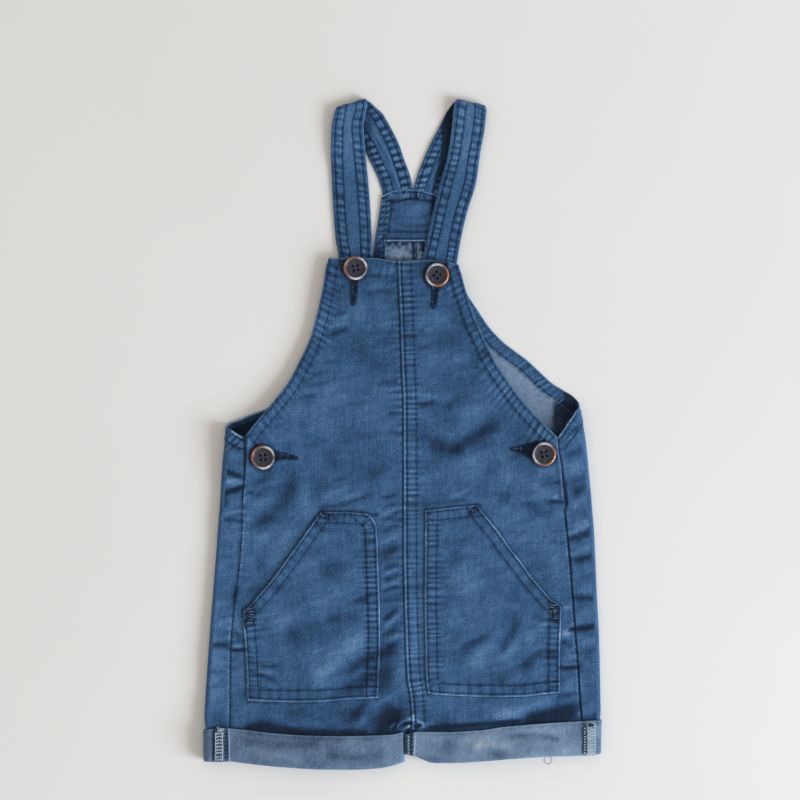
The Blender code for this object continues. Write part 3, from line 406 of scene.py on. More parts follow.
    (((-116.2, -180), (-104.2, -182.2), (-90.8, -189)), 1.88, -0.45, -0.42),
    (((-117, -201.8), (-105.8, -201.8), (-90.8, -202.5)), 1.12, -0.18, -0.26),
    (((-114.8, -177), (-105.8, -177.8), (-95.2, -179.2)), 1.5, 0.14, 0.16),
    (((-77.2, -163.5), (-68.2, -160.5), (-57.8, -156)), 4.5, 0.26, 0.12),
    # gathers
    (((-16.5, -103.5), (-9, -100.5), (-0.8, -96.8)), 2.25, -0.45, -0.36),
    (((-16.5, -111), (-9, -108.8), (-0.8, -105)), 2.25, -0.45, -0.36),
    (((-16.5, -118.5), (-9, -117), (-0.8, -114.8)), 1.95, -0.33, -0.3),
    (((-17.2, -126.8), (-9, -126), (-0.8, -123.8)), 1.95, -0.27, -0.24),
    (((-17.2, -141.8), (-9.8, -136.5), (-1.5, -131.2)), 2.25, -0.62, -0.5),
    (((-15, -147), (-8.2, -141), (-0.8, -134.2)), 1.8, 0.33, 0.32),
    (((-16.5, -153), (-9.8, -149.2), (-1.5, -144)), 2.4, -0.72, -0.55),
    (((-15.8, -156.8), (-9, -154.5), (-0.8, -150.8)), 1.8, 0.21, 0.2),
    (((-15.8, -162), (-9, -159.8), (-0.8, -156)), 1.95, -0.29, -0.26),
    (((-17.2, -115.5), (-9, -113.2), (-0.8, -109.5)), 1.8, 0.21, 0.2),
    (((-16.5, -107.2), (-9, -104.2), (-0.8, -101.2)), 1.8, 0.21, 0.2),
    (((-17.2, -90.8), (-9, -88.5), (-0.8, -85.5)), 2.25, -0.5, -0.4),
    (((-18, -83.2), (-9.8, -80.2), (-2.2, -75.8)), 1.8, 0.21, 0.2),
    (((-18, -75), (-10.5, -72.8), (-2.2, -69)), 1.8, -0.31, -0.3),
    (((-17.2, -66), (-9.8, -63.8), (-1.5, -60)), 1.8, -0.25, -0.24),
    (((-17.2, -62.2), (-9.8, -59.2), (-1.5, -55.5)), 1.8, 0.17, 0.16),
    # crotch
    (((-5.2, -222), (-2.2, -218.2), (1.5, -216), (6, -214.9), (10.5, -215.2), (14.2, -217.1), (17.2, -220.5)), 1.2, 0.82, 1.1),
    (((-0.8, -222), (1.5, -219.4), (4.5, -217.9), (8.2, -219), (10.5, -220.1), (12.8, -218.6), (15.8, -217.5)), 0.9, -0.71, -1.2),
    (((2.2, -220.5), (6, -220.1), (9.8, -221.6)), 1.12, 0.71, 1),
    (((12, -221.2), (15, -220.1), (17.2, -222.8)), 1.12, 0.71, 1),
    # .9 -1.2 417,725 418,729
    (((0, -223.1), (3.8, -222.8), (8.2, -223.5), (12.8, -223.5)), 0.98, -0.7, -1.1),
    (((-11.2, -223.5), (-8.2, -219.8), (-4.5, -215.2)), 1.12, 0.35, 0.5),
    (((-9, -224.2), (-6, -220.5), (-2.2, -216)), 0.9, -0.3, -0.5),
    # crisp
    (((-133.5, -161.6), (-123.8, -162.8), (-113.2, -162.4)), 1.12, -0.44, -0.62),
    (((-129, -159.8), (-123, -160.1), (-117.8, -159.4)), 1.2, 0.16, 0.22),
    (((-145.5, -160.5), (-138, -158.6), (-126, -160.9)), 1.5, -0.38, -0.42),
    (((-127.5, -149.2), (-123.8, -150.8), (-120, -155.2)), 1.65, -0.39, -0.4),
    (((124.5, -147.4), (133.5, -146.6), (144.8, -145.1)), 1.2, -0.52, -0.7),
    (((122.2, -148.3), (125.2, -147.8), (128.2, -147)), 0.98, -0.48, -0.75),
    (((117, -150), (121.5, -148.5), (126.8, -146.2)), 1.12, 0.3, 0.42),
    (((112.5, -176.2), (123.8, -176.2), (135.8, -175.1)), 1.2, -0.46, -0.62),
    (((117.8, -173.6), (124.5, -173.6), (130.5, -172.9)), 1.2, 0.16, 0.22),
    (((123.8, -124.1), (133.5, -123.8), (144.8, -124.9)), 1.42, -0.43, -0.5),
    (((117, -131.2), (122.2, -130.9), (126.8, -130.9)), 1.12, 0.26, 0.36),
    (((117, -157.3), (123, -157.1)), 0.98, -0.35, -0.55),
    (((117, -152.2), (123, -150.4), (128.2, -150)), 1.2, 0.25, 0.34),
    (((-136.5, -27.8), (-127.5, -31.5), (-115.5, -36)), 1.35, -0.41, -0.5),
    (((-135.8, -37.1), (-126.8, -36.4), (-116.2, -34.1)), 1.35, 0.2, 0.24),
    (((-137.2, -47.2), (-127.5, -44.2), (-115.5, -38.6)), 1.65, -0.5, -0.52),
    (((-133.5, -41.6), (-125.2, -39.4), (-116.2, -36.4)), 1.35, 0.2, 0.24),
    (((-135, -64.9), (-126.8, -66), (-116.2, -66.4)), 1.12, -0.23, -0.32),
    (((-135.8, -62.2), (-126.8, -60), (-116.2, -58.5)), 1.12, 0.18, 0.26),
    (((-118.5, -46.1), (-114.8, -45.4), (-110.2, -44.6)), 1.05, -0.28, -0.42),
    (((-118.5, -48.4), (-114, -47.6), (-108.8, -47.2)), 1.05, 0.19, 0.28),
    (((103.5, -51), (113.2, -51.4), (124.5, -54)), 1.2, -0.34, -0.45),
    (((108.8, -49.1), (114, -49.1), (118.5, -49.9)), 1.05, 0.18, 0.26),
    (((111, -38.6), (114.8, -37.5), (119.2, -37.1)), 1.05, -0.24, -0.36),
    (((126, -49.5), (130.5, -45.8), (136.5, -41.2)), 2.7, -0.49, -0.34),
    (((120.8, -80.2), (133.5, -75.4), (144.8, -70.9)), 1.35, -0.33, -0.4),
    (((126.8, -69.8), (132.8, -67.5), (140.2, -65.6)), 1.12, 0.18, 0.26),
    (((120.8, -96.8), (133.5, -94.5), (144.8, -91.5)), 1.35, -0.35, -0.42),
]

# ------------------------------------------------------------------ helpers
def smooth(keys, values, at):
    """A smooth curve through a table, level past both ends."""
    keys, values = np.asarray(keys, float), np.asarray(values, float)
    if keys[0] > keys[-1]:
        keys, values = keys[::-1], values[::-1]
    at = np.asarray(at, float)
    cut = np.diff(values) / np.diff(keys)
    slope = np.empty(len(keys))
    slope[0], slope[-1] = cut[0], cut[-1]
    product = cut[:-1] * cut[1:]
    total = cut[:-1] + cut[1:]
    slope[1:-1] = np.where(
        product > 0, 2 * product / np.where(product > 0, total, 1.0), 0.0
    )
    i = np.clip(np.searchsorted(keys, at, side="right") - 1, 0, len(keys) - 2)
    step = keys[i + 1] - keys[i]
    t = np.clip((at - keys[i]) / step, 0.0, 1.0)
    return (
        values[i] * (1 + 2 * t) * (1 - t) ** 2
        + values[i + 1] * t * t * (3 - 2 * t)
        + slope[i] * step * t * (1 - t) ** 2
        - slope[i + 1] * step * t * t * (1 - t)
    )


def ease(a, b, at):
    t = np.clip((np.asarray(at, float) - a) / (b - a), 0.0, 1.0)
    return t * t * (3 - 2 * t)


def bell(d, reach):
    return np.exp(-((d / reach) ** 2))


def noise1(t, seed):
    """Smooth noise along a line, -1 to 1, one value for each whole t."""
    table = np.random.default_rng(seed).uniform(-1, 1, 512)
    i = np.floor(t).astype(int)
    f = t - i
    f = f * f * (3 - 2 * f)
    return table[i % 512] * (1 - f) + table[(i + 1) % 512] * f


def noise2(x, y, seed):
    table = np.random.default_rng(seed).uniform(-1, 1, (128, 128))
    i, j = np.floor(x).astype(int), np.floor(y).astype(int)
    f, g = x - i, y - j
    f, g = f * f * (3 - 2 * f), g * g * (3 - 2 * g)
    a = table[i % 128, j % 128] * (1 - f) + table[(i + 1) % 128, j % 128] * f
    b = table[i % 128, (j + 1) % 128] * (1 - f) + table[(i + 1) % 128, (j + 1) % 128] * f
    return a * (1 - g) + b * g


def puckers(s, pitch, seed):
    """Uneven gathers along a seam, -1 to 1, with hollows narrower than crests."""
    phase = s / pitch + 0.55 * noise1(s / (2.3 * pitch), seed)
    wave = 0.5 + 0.5 * np.cos(2 * math.pi * phase)
    size = 0.62 + 0.38 * noise1(s / (1.7 * pitch), seed + 1)
    return (2 * (1 - (1 - wave) ** 1.6) - 1.15) * size


class Path:
    """A line on the flat cloth, smoothed and resampled."""

    def __init__(self, points, rounded=True, step=0.7):
        p = np.asarray(points, float)
        if rounded and len(p) > 2:
            q = np.vstack([2 * p[0] - p[1], p, 2 * p[-1] - p[-2]])
            out = []
            for a, b, c, d in zip(q, q[1:], q[2:], q[3:]):
                n = max(2, int(np.hypot(*(c - b)) / step))
                t = (np.arange(n) / n)[:, None]
                out.append(
                    0.5 * (2 * b + (c - a) * t + (2 * a - 5 * b + 4 * c - d) * t**2
                           + (3 * b - a - 3 * c + d) * t**3)
                )
            p = np.vstack([*out, p[-1:]])
        far = np.concatenate([[0], np.cumsum(np.hypot(*np.diff(p, axis=0).T))])
        n = max(3, int(far[-1] / step) + 1)
        self.s = np.linspace(0, far[-1], n)
        self.p = np.stack([np.interp(self.s, far, p[:, k]) for k in (0, 1)], 1)
        t = np.gradient(self.p, axis=0)
        self.t = t / np.maximum(np.hypot(t[:, 0], t[:, 1]), 1e-9)[:, None]
        self.length = far[-1]

    def near(self, x, y, reach=30.0):
        """Signed distance (left of the line is +) and the way along it."""
        d, s = np.full(x.shape, 1e3), np.zeros(x.shape)
        low, high = self.p.min(0) - reach, self.p.max(0) + reach
        m = (x > low[0]) & (x < high[0]) & (y > low[1]) & (y < high[1])
        if not m.any():
            return d, s
        q = np.stack([x[m], y[m]], 1)
        i = np.empty(len(q), int)
        for k in range(0, len(q), 3000):
            part = q[k:k + 3000, None, :] - self.p[None]
            i[k:k + 3000] = (part**2).sum(-1).argmin(1)
        v, t = q - self.p[i], self.t[i]
        along = (v * t).sum(1)
        across = t[:, 0] * v[:, 1] - t[:, 1] * v[:, 0]
        over = np.where(i == 0, np.minimum(along, 0), 0)
        over = np.where(i == len(self.s) - 1, np.maximum(along, 0), over)
        side = np.where(across < 0, -1.0, 1.0)
        d[m] = side * np.hypot(across, over)
        s[m] = np.clip(self.s[i] + along, 0, self.length)
        return d, s

    def at(self, s, off=0.0):
        p = np.stack([np.interp(s, self.s, self.p[:, k]) for k in (0, 1)], -1)
        t = np.stack([np.interp(s, self.s, self.t[:, k]) for k in (0, 1)], -1)
        t /= np.maximum(np.hypot(t[..., 0], t[..., 1]), 1e-9)[..., None]
        n = np.stack([-t[..., 1], t[..., 0]], -1)
        return p + n * np.asarray(off)[..., None]

    def sided(self, inside):
        """1 if that point is left of the line, -1 if it is right of it."""
        d, _ = self.near(np.array([inside[0]], float), np.array([inside[1]], float), 1e4)
        return 1.0 if d[0] > 0 else -1.0


CREASE_PATHS = [(Path(points), *rest) for points, *rest in CREASES]


# ------------------------------------------------------------------ the form
def fold_x(side, y):
    t = LEFT_SIDE if side < 0 else RIGHT_SIDE
    return smooth(t[:, 0], t[:, 1], y)


def seam_x(side, y):
    t = LEFT_SIDE if side < 0 else RIGHT_SIDE
    return smooth(t[:, 0], t[:, 2], y)


def inner_x(side, y, column):
    """Centre seam (column 1 front, 2 back), and below the crotch a leg's edge."""
    high = smooth(MIDDLE[:, 0], MIDDLE[:, column], y)
    low = smooth(INSEAM[:, 0], INSEAM[:, 1 if side < 0 else 2], y)
    return np.where(y >= CROTCH, high, low)


def back_lift(y):
    return LEG_LIFT * ease(LEG_LIFT_FROM, LEG_LIFT_TO, y)


def under(x, y):
    """Underside of the front and of the side panels, as in the solids."""
    z = LIE + (LIE_LEG - LIE) * ease(LEG_LIFT_FROM, LEG_LIFT_TO, y)
    z = z + (SIDE_ROLL - LIE) * bell(x - fold_x(-1, y), ROLL_REACH)
    z = z + (SIDE_ROLL - LIE) * bell(fold_x(1, y) - x, ROLL_REACH)
    for cx, cy, rx, ry, h in LIFTS:
        z = z + h * bell(x - cx, rx) * bell(y - cy, ry)
    for x0, y0, x1, y1, reach, h in FOLDS:
        run = math.hypot(x1 - x0, y1 - y0)
        along = ((x - x0) * (x1 - x0) + (y - y0) * (y1 - y0)) / run**2
        across = ((x - x0) * (y1 - y0) - (y - y0) * (x1 - x0)) / run
        ends = ease(-0.25, 0.25, along) * ease(1.25, 0.75, along)
        z = z + h * ends * bell(across, reach)
    return z


DEPTH = 0.62
SLOPE = (0.91, -0.41)  # a fold's flanks fade unevenly


def relief(x, y):
    """Creases of the whole front, in height and in painted light and shade."""
    z, tone = np.zeros(x.shape), np.zeros(x.shape)
    for k, (path, width, height, painted_light_and_shade) in enumerate(CREASE_PATHS):
        d, s = path.near(x, y, 2.6 * width + 2)
        if not (np.abs(d) < 900).any():
            continue
        wave = 1 + 0.20 * noise1(s / (3.0 * width), 50 + k)
        wider = 1.0

        def shape(d, s):
            end = min(0.42 * path.length, 1.9 * width + 2.0)
            ends = ease(0, end, s) * ease(path.length, path.length - end, s)
            ends = np.where(np.abs(d) > 900, 0, 0.10 + 0.90 * ends)
            return ends * bell(d, width * wave * wider)

        shade = math.copysign(0.46 * math.tanh(2.6 * abs(painted_light_and_shade)), painted_light_and_shade) + 0.34 * painted_light_and_shade
        shade *= 1.0 + 0.25 * (width < 2.3)
        soft = 1.0 + 0.22 * min(1.0, max(0.0, (width - 2.0) / 1.5)) * (painted_light_and_shade > -0.8)
        shade /= soft**0.7
        wider = soft
        # painted shade in the creases' troughs and painted light on their ridges
        tone += shade * shape(d, s) * (1 + 0.18 * noise1(s / (2.2 * width), 90 + k))
        shift, wider = 0.5 * width, 1.0
        d, s = path.near(x + shift * SLOPE[0], y + shift * SLOPE[1], 3.2 * width + 2)
        wave = 1 + 0.20 * noise1(s / (3.0 * width), 50 + k)
        z += DEPTH * height * shape(d, s)
    # low swells between the creases, uneven in size
    z += 0.50 * noise2(x / 31 + 7.3, y / 27 + 3.1, 5) + 0.16 * noise2(x / 11, y / 8.5, 6)
    z += 0.10 * noise2(x / 5.5 + 3, y / 4.2, 7)
    # long shallow wrinkles, lying across and rising to the right, with painted shade following their height
    u, v = 0.966 * x + 0.26 * y, 0.966 * y - 0.26 * x
    u, v = u + 1.5 * noise2(x / 13, y / 13, 31), v + 1.6 * noise2(x / 15 + 9, y / 15, 32)
    for long, tall, high, painted_light_and_shade, seed in ((19, 5.2, 0.13, 0.10, 33), (11, 3.0, 0.07, 0.09, 34),
                                         (6.5, 1.8, 0.04, 0.06, 35)):
        w = noise2(u / long + 5, v / tall + 2, seed)
        z += high * w
        tone += painted_light_and_shade * w
    tone += 0.09 * noise2(x / 16 + 4, y / 13, 8) + 0.06 * noise2(x / 6, y / 5, 9)
    # painted shadow of the turned hems' top edge where they stand on the legs
    for side in (-1, 1):
        over = y - smooth(CUFF_TOP[side][:, 0], CUFF_TOP[side][:, 1], x)
        here = ease(-1.0, 1.0, side * x)
        tone -= here * (0.60 * bell(over - 0.3, 1.3) + 0.22 * bell(over - 3.0, 3.0))
    for cx, cy, rx, ry, painted_light_and_shade in BROAD:
        tone += painted_light_and_shade * bell(np.hypot((x - cx) / rx, (y - cy) / ry), 1.0)
    return z, tone


# broad painted lights and shades on the cloth: middle, reach, tone
BROAD = [
    (-146, -155, 9, 75, 0.32), (-124, -165, 14, 60, 0.10), (-32, -212, 24, 10, -0.55),
    (-62, -208, 18, 8, -0.22), (-10, 66, 50, 14, -0.18), (52, 64, 14, 14, -0.20),
    (48, 4, 26, 14, -0.28), (-38, -32, 20, 16, -0.24), (-86, -26, 10, 10, -0.18),
    (-12, -98, 9, 12, -0.22), (-11, -172, 9, 30, -0.22), (8, -150, 9, 40, 0.16),
    (44, -196, 14, 12, 0.24), (66, -212, 12, 8, 0.26), (-104, -82, 18, 22, 0.18),
    (119, -199, 8, 10, -0.28), (104, -214, 12, 8, -0.30), (-65, 84, 10, 14, 0.18),
    (0, 112, 85, 42, -0.12), (70, -60, 34, 30, 0.08),
]


def surface(x, y):
    """Middle surface of the front and the side panels."""
    z, tone = relief(x, y)
    # the middle of the body stands a little off the back
    wide = ease(0, 45, x - fold_x(-1, y)) * ease(0, 45, fold_x(1, y) - x)
    z = under(x, y) + CAD_WALL / 2 + z + 1.0
    z = z + 1.5 * wide * ease(-235, -190, y) * ease(140, 100, y)
    floor = 1.75 + (LIE_LEG - LIE) * ease(LEG_LIFT_FROM, LEG_LIFT_TO, y)
    over = z - floor
    return floor + np.where(over > 0.8, over, 0.8 * np.exp(np.minimum(over / 0.8 - 1, 0))), tone


def front_z(x, y):
    return surface(np.asarray(x, float), np.asarray(y, float))[0]


# ------------------------------------------------------------------ shells
def place(p):
    p = np.asarray(p, float)
    out = np.empty(p.shape)
    out[..., 0] = (p[..., 0] - ORIGIN[0]) * MM
    out[..., 1] = (p[..., 1] - ORIGIN[1]) * MM
    out[..., 2] = p[..., 2] * MM
    return out


def unit(v):
    return v / np.maximum(np.linalg.norm(v, axis=-1), 1e-12)[..., None]


def grid_normals(p, ring):
    """Normals of a grid of points: rows along axis 0, columns along axis 1."""
    a = np.gradient(p, axis=0)
    if ring:
        b = (np.roll(p, -1, 1) - np.roll(p, 1, 1)) / 2
    else:
        b = np.gradient(p, axis=1)
    return unit(np.cross(b, a))


class Cloth:
    """A thin shell: a grid of middle points, moved along its normals."""

    made = []

    def __init__(self, name, mid, flat, up, lift, thick_up, thick_down, tone,
                 face, slot, material, ring=False, tone_down=None, face_down=None,
                 keep=None):
        self.name, self.ring, self.flat = name, ring, flat
        n = grid_normals(mid, ring)
        if (n * np.asarray(up)).sum(-1).mean() < 0:
            n = -n
        self.normal = n
        self.upper = mid + n * (lift + thick_up)[..., None]
        self.lower = mid + n * (lift - thick_down)[..., None]
        rows, cols = mid.shape[:2]
        half = rows * cols
        u, w = self.upper.reshape(-1, 3), self.lower.reshape(-1, 3)
        face = np.broadcast_to(np.asarray(face, float), (rows, cols))
        face_down = 1.0 - face if face_down is None else np.broadcast_to(
            np.asarray(face_down, float), (rows, cols))
        tone_down = tone if tone_down is None else tone_down
        co = [u, w]
        tones, sides = [tone.ravel(), tone_down.ravel()], [face.ravel(), face_down.ravel()]
        flats = [flat.reshape(-1, 2), flat.reshape(-1, 2)]
        index = np.arange(half).reshape(rows, cols)
        if ring:
            a, b = index[:-1], index[1:]
            quads = np.stack([a, np.roll(a, -1, 1), np.roll(b, -1, 1), b], -1)
        else:
            quads = np.stack(
                [index[:-1, :-1], index[:-1, 1:], index[1:, 1:], index[1:, :-1]], -1
            )
        quads = quads.reshape(-1, 4)
        if keep is not None:
            quads = quads[keep.ravel()[quads].all(1)]
        self.quads = quads
        cross = np.cross(u[quads[:, 1]] - u[quads[:, 0]], u[quads[:, 3]] - u[quads[:, 0]])
        if (cross * n.reshape(-1, 3)[quads[:, 0]]).sum(-1).mean() < 0:
            quads = quads[:, ::-1]
        faces = [quads, quads[:, ::-1] + half]
        # rounded rims, round every open edge
        edges = np.concatenate([quads[:, [k, (k + 1) % 4]] for k in range(4)])
        keys = edges[:, 0].astype(np.int64) * half + edges[:, 1]
        back_keys = edges[:, 1].astype(np.int64) * half + edges[:, 0]
        rim = edges[~np.isin(keys, back_keys)]
        inward = np.zeros((half, 3))
        count = np.zeros(half)
        centre = (u[quads].mean(1) + w[quads].mean(1)) / 2
        for k in range(4):
            np.add.at(inward, quads[:, k], centre)
            np.add.at(count, quads[:, k], 1)
        who = np.unique(rim)
        spot = np.full(half, -1)
        spot[who] = 2 * half + np.arange(len(who))
        along = np.zeros((half, 3))
        middle = (u + w) / 2
        np.add.at(along, rim[:, 0], middle[rim[:, 1]] - middle[rim[:, 0]])
        np.add.at(along, rim[:, 1], middle[rim[:, 1]] - middle[rim[:, 0]])
        out = middle[who] - inward[who] / count[who][:, None]
        t, nn = unit(along[who]), n.reshape(-1, 3)[who]
        out = out - t * (out * t).sum(-1)[:, None] * 0.9
        out = unit(out - nn * (out * nn).sum(-1)[:, None])
        high = np.linalg.norm(u[who] - w[who], axis=1)[:, None]
        co.append(middle[who] + out * high * 0.32)
        tones.append(tone.ravel()[who] + 0.05)
        sides.append(np.minimum(face.ravel()[who], face_down.ravel()[who]))
        flats.append(flat.reshape(-1, 2)[who])
        a, b = rim[:, 0], rim[:, 1]
        faces.append(np.stack([b, a, spot[a], spot[b]], -1))
        faces.append(np.stack([spot[b], spot[a], a + half, b + half], -1))
        # leave out points no face uses
        co, quads = np.vstack(co), np.vstack(faces)
        co[:, 2] = np.maximum(co[:, 2], 0.06)  # pressed flat where it lies on the surface
        used = np.unique(quads)
        again = np.full(len(co), -1)
        again[used] = np.arange(len(used))
        quads = again[quads]
        co = place(co[used])
        mesh = bpy.data.meshes.new(name)
        mesh.vertices.add(len(co))
        mesh.vertices.foreach_set("co", co.ravel())
        mesh.loops.add(quads.size)
        mesh.loops.foreach_set("vertex_index", quads.ravel().astype(np.int32))
        mesh.polygons.add(len(quads))
        mesh.polygons.foreach_set("loop_start", np.arange(0, quads.size, 4, dtype=np.int32))
        mesh.update(calc_edges=True)
        mesh.validate()
        mesh.shade_smooth()
        for key, values in (("tone", tones), ("reverse", sides)):
            a = mesh.attributes.new(key, "FLOAT", "POINT")
            a.data.foreach_set("value", np.concatenate(values)[used].astype(np.float32))
        at = np.zeros((len(co), 3), np.float32)
        at[:, :2] = np.vstack(flats)[used]
        a = mesh.attributes.new("cloth", "FLOAT_VECTOR", "POINT")
        a.data.foreach_set("vector", at.ravel())
        mesh.materials.append(material)
        self.object = bpy.data.objects.new(name + "_cloth", mesh)
        bpy.context.scene.collection.objects.link(self.object)
        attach(self.object, "root")
        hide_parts(name)
        self.finder = self.roof = None
        Cloth.made.append(self)

    def flat_area(self):
        """Area of the flat cloth, in square millimetres."""
        p = self.flat.reshape(-1, 2)[self.quads]
        a, b = p[:, 2] - p[:, 0], p[:, 3] - p[:, 1]
        return float(np.abs(a[:, 0] * b[:, 1] - a[:, 1] * b[:, 0]).sum() / 2)

    def over(self, x, y, z=60.0, down=True):
        """Where a plumb line at table place x, y first meets this cloth."""
        if self.roof is None:
            tris = np.vstack([self.quads[:, [0, 1, 2]], self.quads[:, [0, 2, 3]]])
            n = self.upper.shape[0] * self.upper.shape[1]
            co = np.vstack([self.upper.reshape(-1, 3), self.lower.reshape(-1, 3)])
            self.roof = BVHTree.FromPolygons(co.tolist(), np.vstack([tris, tris + n]).tolist())
        hit = self.roof.ray_cast(Vector((x, y, z)), Vector((0, 0, -1 if down else 1)))
        if hit[0] is None:
            return None
        n = hit[1] if hit[1].z * (1 if down else -1) > 0 else -hit[1]
        return hit[0], n

    def find(self, x, y, below=False):
        """The point of the upper or lower face at flat place x, y, or None."""
        if self.finder is None:
            rows, cols = self.flat.shape[:2]
            q = self.quads
            if self.ring:  # leave the closing column out of the flat cloth
                q = q[(q % cols).max(1) - (q % cols).min(1) < 2]
            tris = np.vstack([q[:, [0, 1, 2]], q[:, [0, 2, 3]]])
            flat = np.zeros((rows * cols, 3))
            flat[:, :2] = self.flat.reshape(-1, 2)
            self.tris = tris
            self.flat3 = flat
            self.finder = BVHTree.FromPolygons(flat.tolist(), tris.tolist())
        hit = self.finder.ray_cast(Vector((x, y, 10)), Vector((0, 0, -1)))
        if hit[0] is None:
            return None
        tri = self.tris[hit[2]]
        on = (self.lower if below else self.upper).reshape(-1, 3)[tri]
        return geometry.barycentric_transform(
            hit[0], *(Vector(self.flat3[i]) for i in tri), *(Vector(v) for v in on)
        )


class Threads:
    """Many stitches in one mesh, each a small bent capsule lying on the cloth."""

    SIDES = 5
    ALONG = ((-0.5, 0.30, -0.55), (-0.27, 0.95, 0.25), (0.27, 0.95, 0.25), (0.5, 0.30, -0.55))

    def __init__(self, name, material, slot="denim"):
        self.name, self.material, self.slot = name, material, slot
        self.co, self.count = [], 0

    def add(self, a, b, up, radius):
        a, b, up = Vector(a), Vector(b), Vector(up)
        run = b - a
        length = run.length
        if length < 1e-6:
            return
        run.normalize()
        across = run.cross(up).normalized()
        up = across.cross(run)
        mid = (a + b) / 2
        for t, size, rise in self.ALONG:
            c = mid + run * (t * length) + up * (rise * radius)
            for k in range(self.SIDES):
                turn = 2 * math.pi * k / self.SIDES
                self.co.append(
                    c + (across * math.cos(turn) + up * (0.8 * math.sin(turn))) * (radius * size)
                )
        self.count += 1

    def row(self, cloth, points, pitch=3.0, length=2.2, radius=0.26, below=False,
            seed=1, start=1.0, wander=0.12):
        """A row of stitches along points of the flat cloth."""
        path = points if isinstance(points, Path) else Path(points, rounded=False)
        rng = np.random.default_rng(seed)
        s = start
        while s + length < path.length - 0.4:
            pos = np.array([s, s + length / 2, s + length])
            off = rng.normal(0, wander)
            pts = path.at(pos, np.full(3, off))
            got = [cloth.find(*p, below) for p in pts]
            if None not in got:
                side = cloth.find(*path.at(np.array([s + length / 2]), np.array([off + 0.5]))[0], below)
                if side is not None:
                    run = got[2] - got[0]
                    n = run.cross(side - got[1]).normalized()
                    want = -1 if below else 1
                    ref = self.facing(cloth, pts[1], below)
                    if n.dot(ref) < 0:
                        n = -n
                    self.add(got[0], got[2], n, radius * rng.uniform(0.9, 1.1))
            s += pitch * rng.uniform(0.94, 1.06)

    def line(self, cloth, points, radius, below=False, lift=0.3):
        """A thread lying along points of the flat cloth."""
        got = [cloth.find(*p, below) for p in points]
        for a, b, p in zip(got, got[1:], points):
            if a is not None and b is not None:
                n = self.facing(cloth, p, below)
                self.add(a + n * lift * radius, b + n * lift * radius, n, radius)

    def drape(self, cloths, points, radius, lift=0.5):
        """A thread lying along points of the table, on whatever is uppermost."""
        got = []
        for x, y in points:
            hits = [h for h in (c.over(x, y) for c in cloths) if h is not None]
            got.append(max(hits, key=lambda h: h[0].z) if hits else None)
        for a, b in zip(got, got[1:]):
            if a is not None and b is not None:
                n = (a[1] + b[1]).normalized()
                self.add(a[0] + n * lift * radius, b[0] + n * lift * radius, n, radius)

    def facing(self, cloth, at, below):
        a = cloth.find(*at, False)
        b = cloth.find(*at, True)
        v = (b - a) if below else (a - b)
        return v.normalized() if v.length > 1e-9 else Vector((0, 0, -1 if below else 1))

    def build(self):
        if not self.count:
            return None
        k, rings = self.SIDES, len(self.ALONG)
        one = []
        for r in range(rings - 1):
            for i in range(k):
                j = (i + 1) % k
                one.append((r * k + i, r * k + j, (r + 1) * k + j, (r + 1) * k + i))
        per = k * rings
        faces = []
        for n in range(self.count):
            faces += [tuple(v + n * per for v in f) for f in one]
            faces.append(tuple(n * per + i for i in reversed(range(k))))
            faces.append(tuple(n * per + per - k + i for i in range(k)))
        co = np.array([tuple(v) for v in self.co])
        co[:, 2] = np.maximum(co[:, 2], 0.02)
        co = place(co)
        mesh = bpy.data.meshes.new(self.name)
        mesh.from_pydata(co.tolist(), [], faces)
        mesh.shade_smooth()
        mesh.materials.append(self.material)
        bm = bmesh.new()
        bm.from_mesh(mesh)
        bmesh.ops.recalc_face_normals(bm, faces=bm.faces)
        bm.to_mesh(mesh)
        bm.free()
        ob = bpy.data.objects.new(self.name, mesh)
        bpy.context.scene.collection.objects.link(ob)
        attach(ob, "root")
        return ob


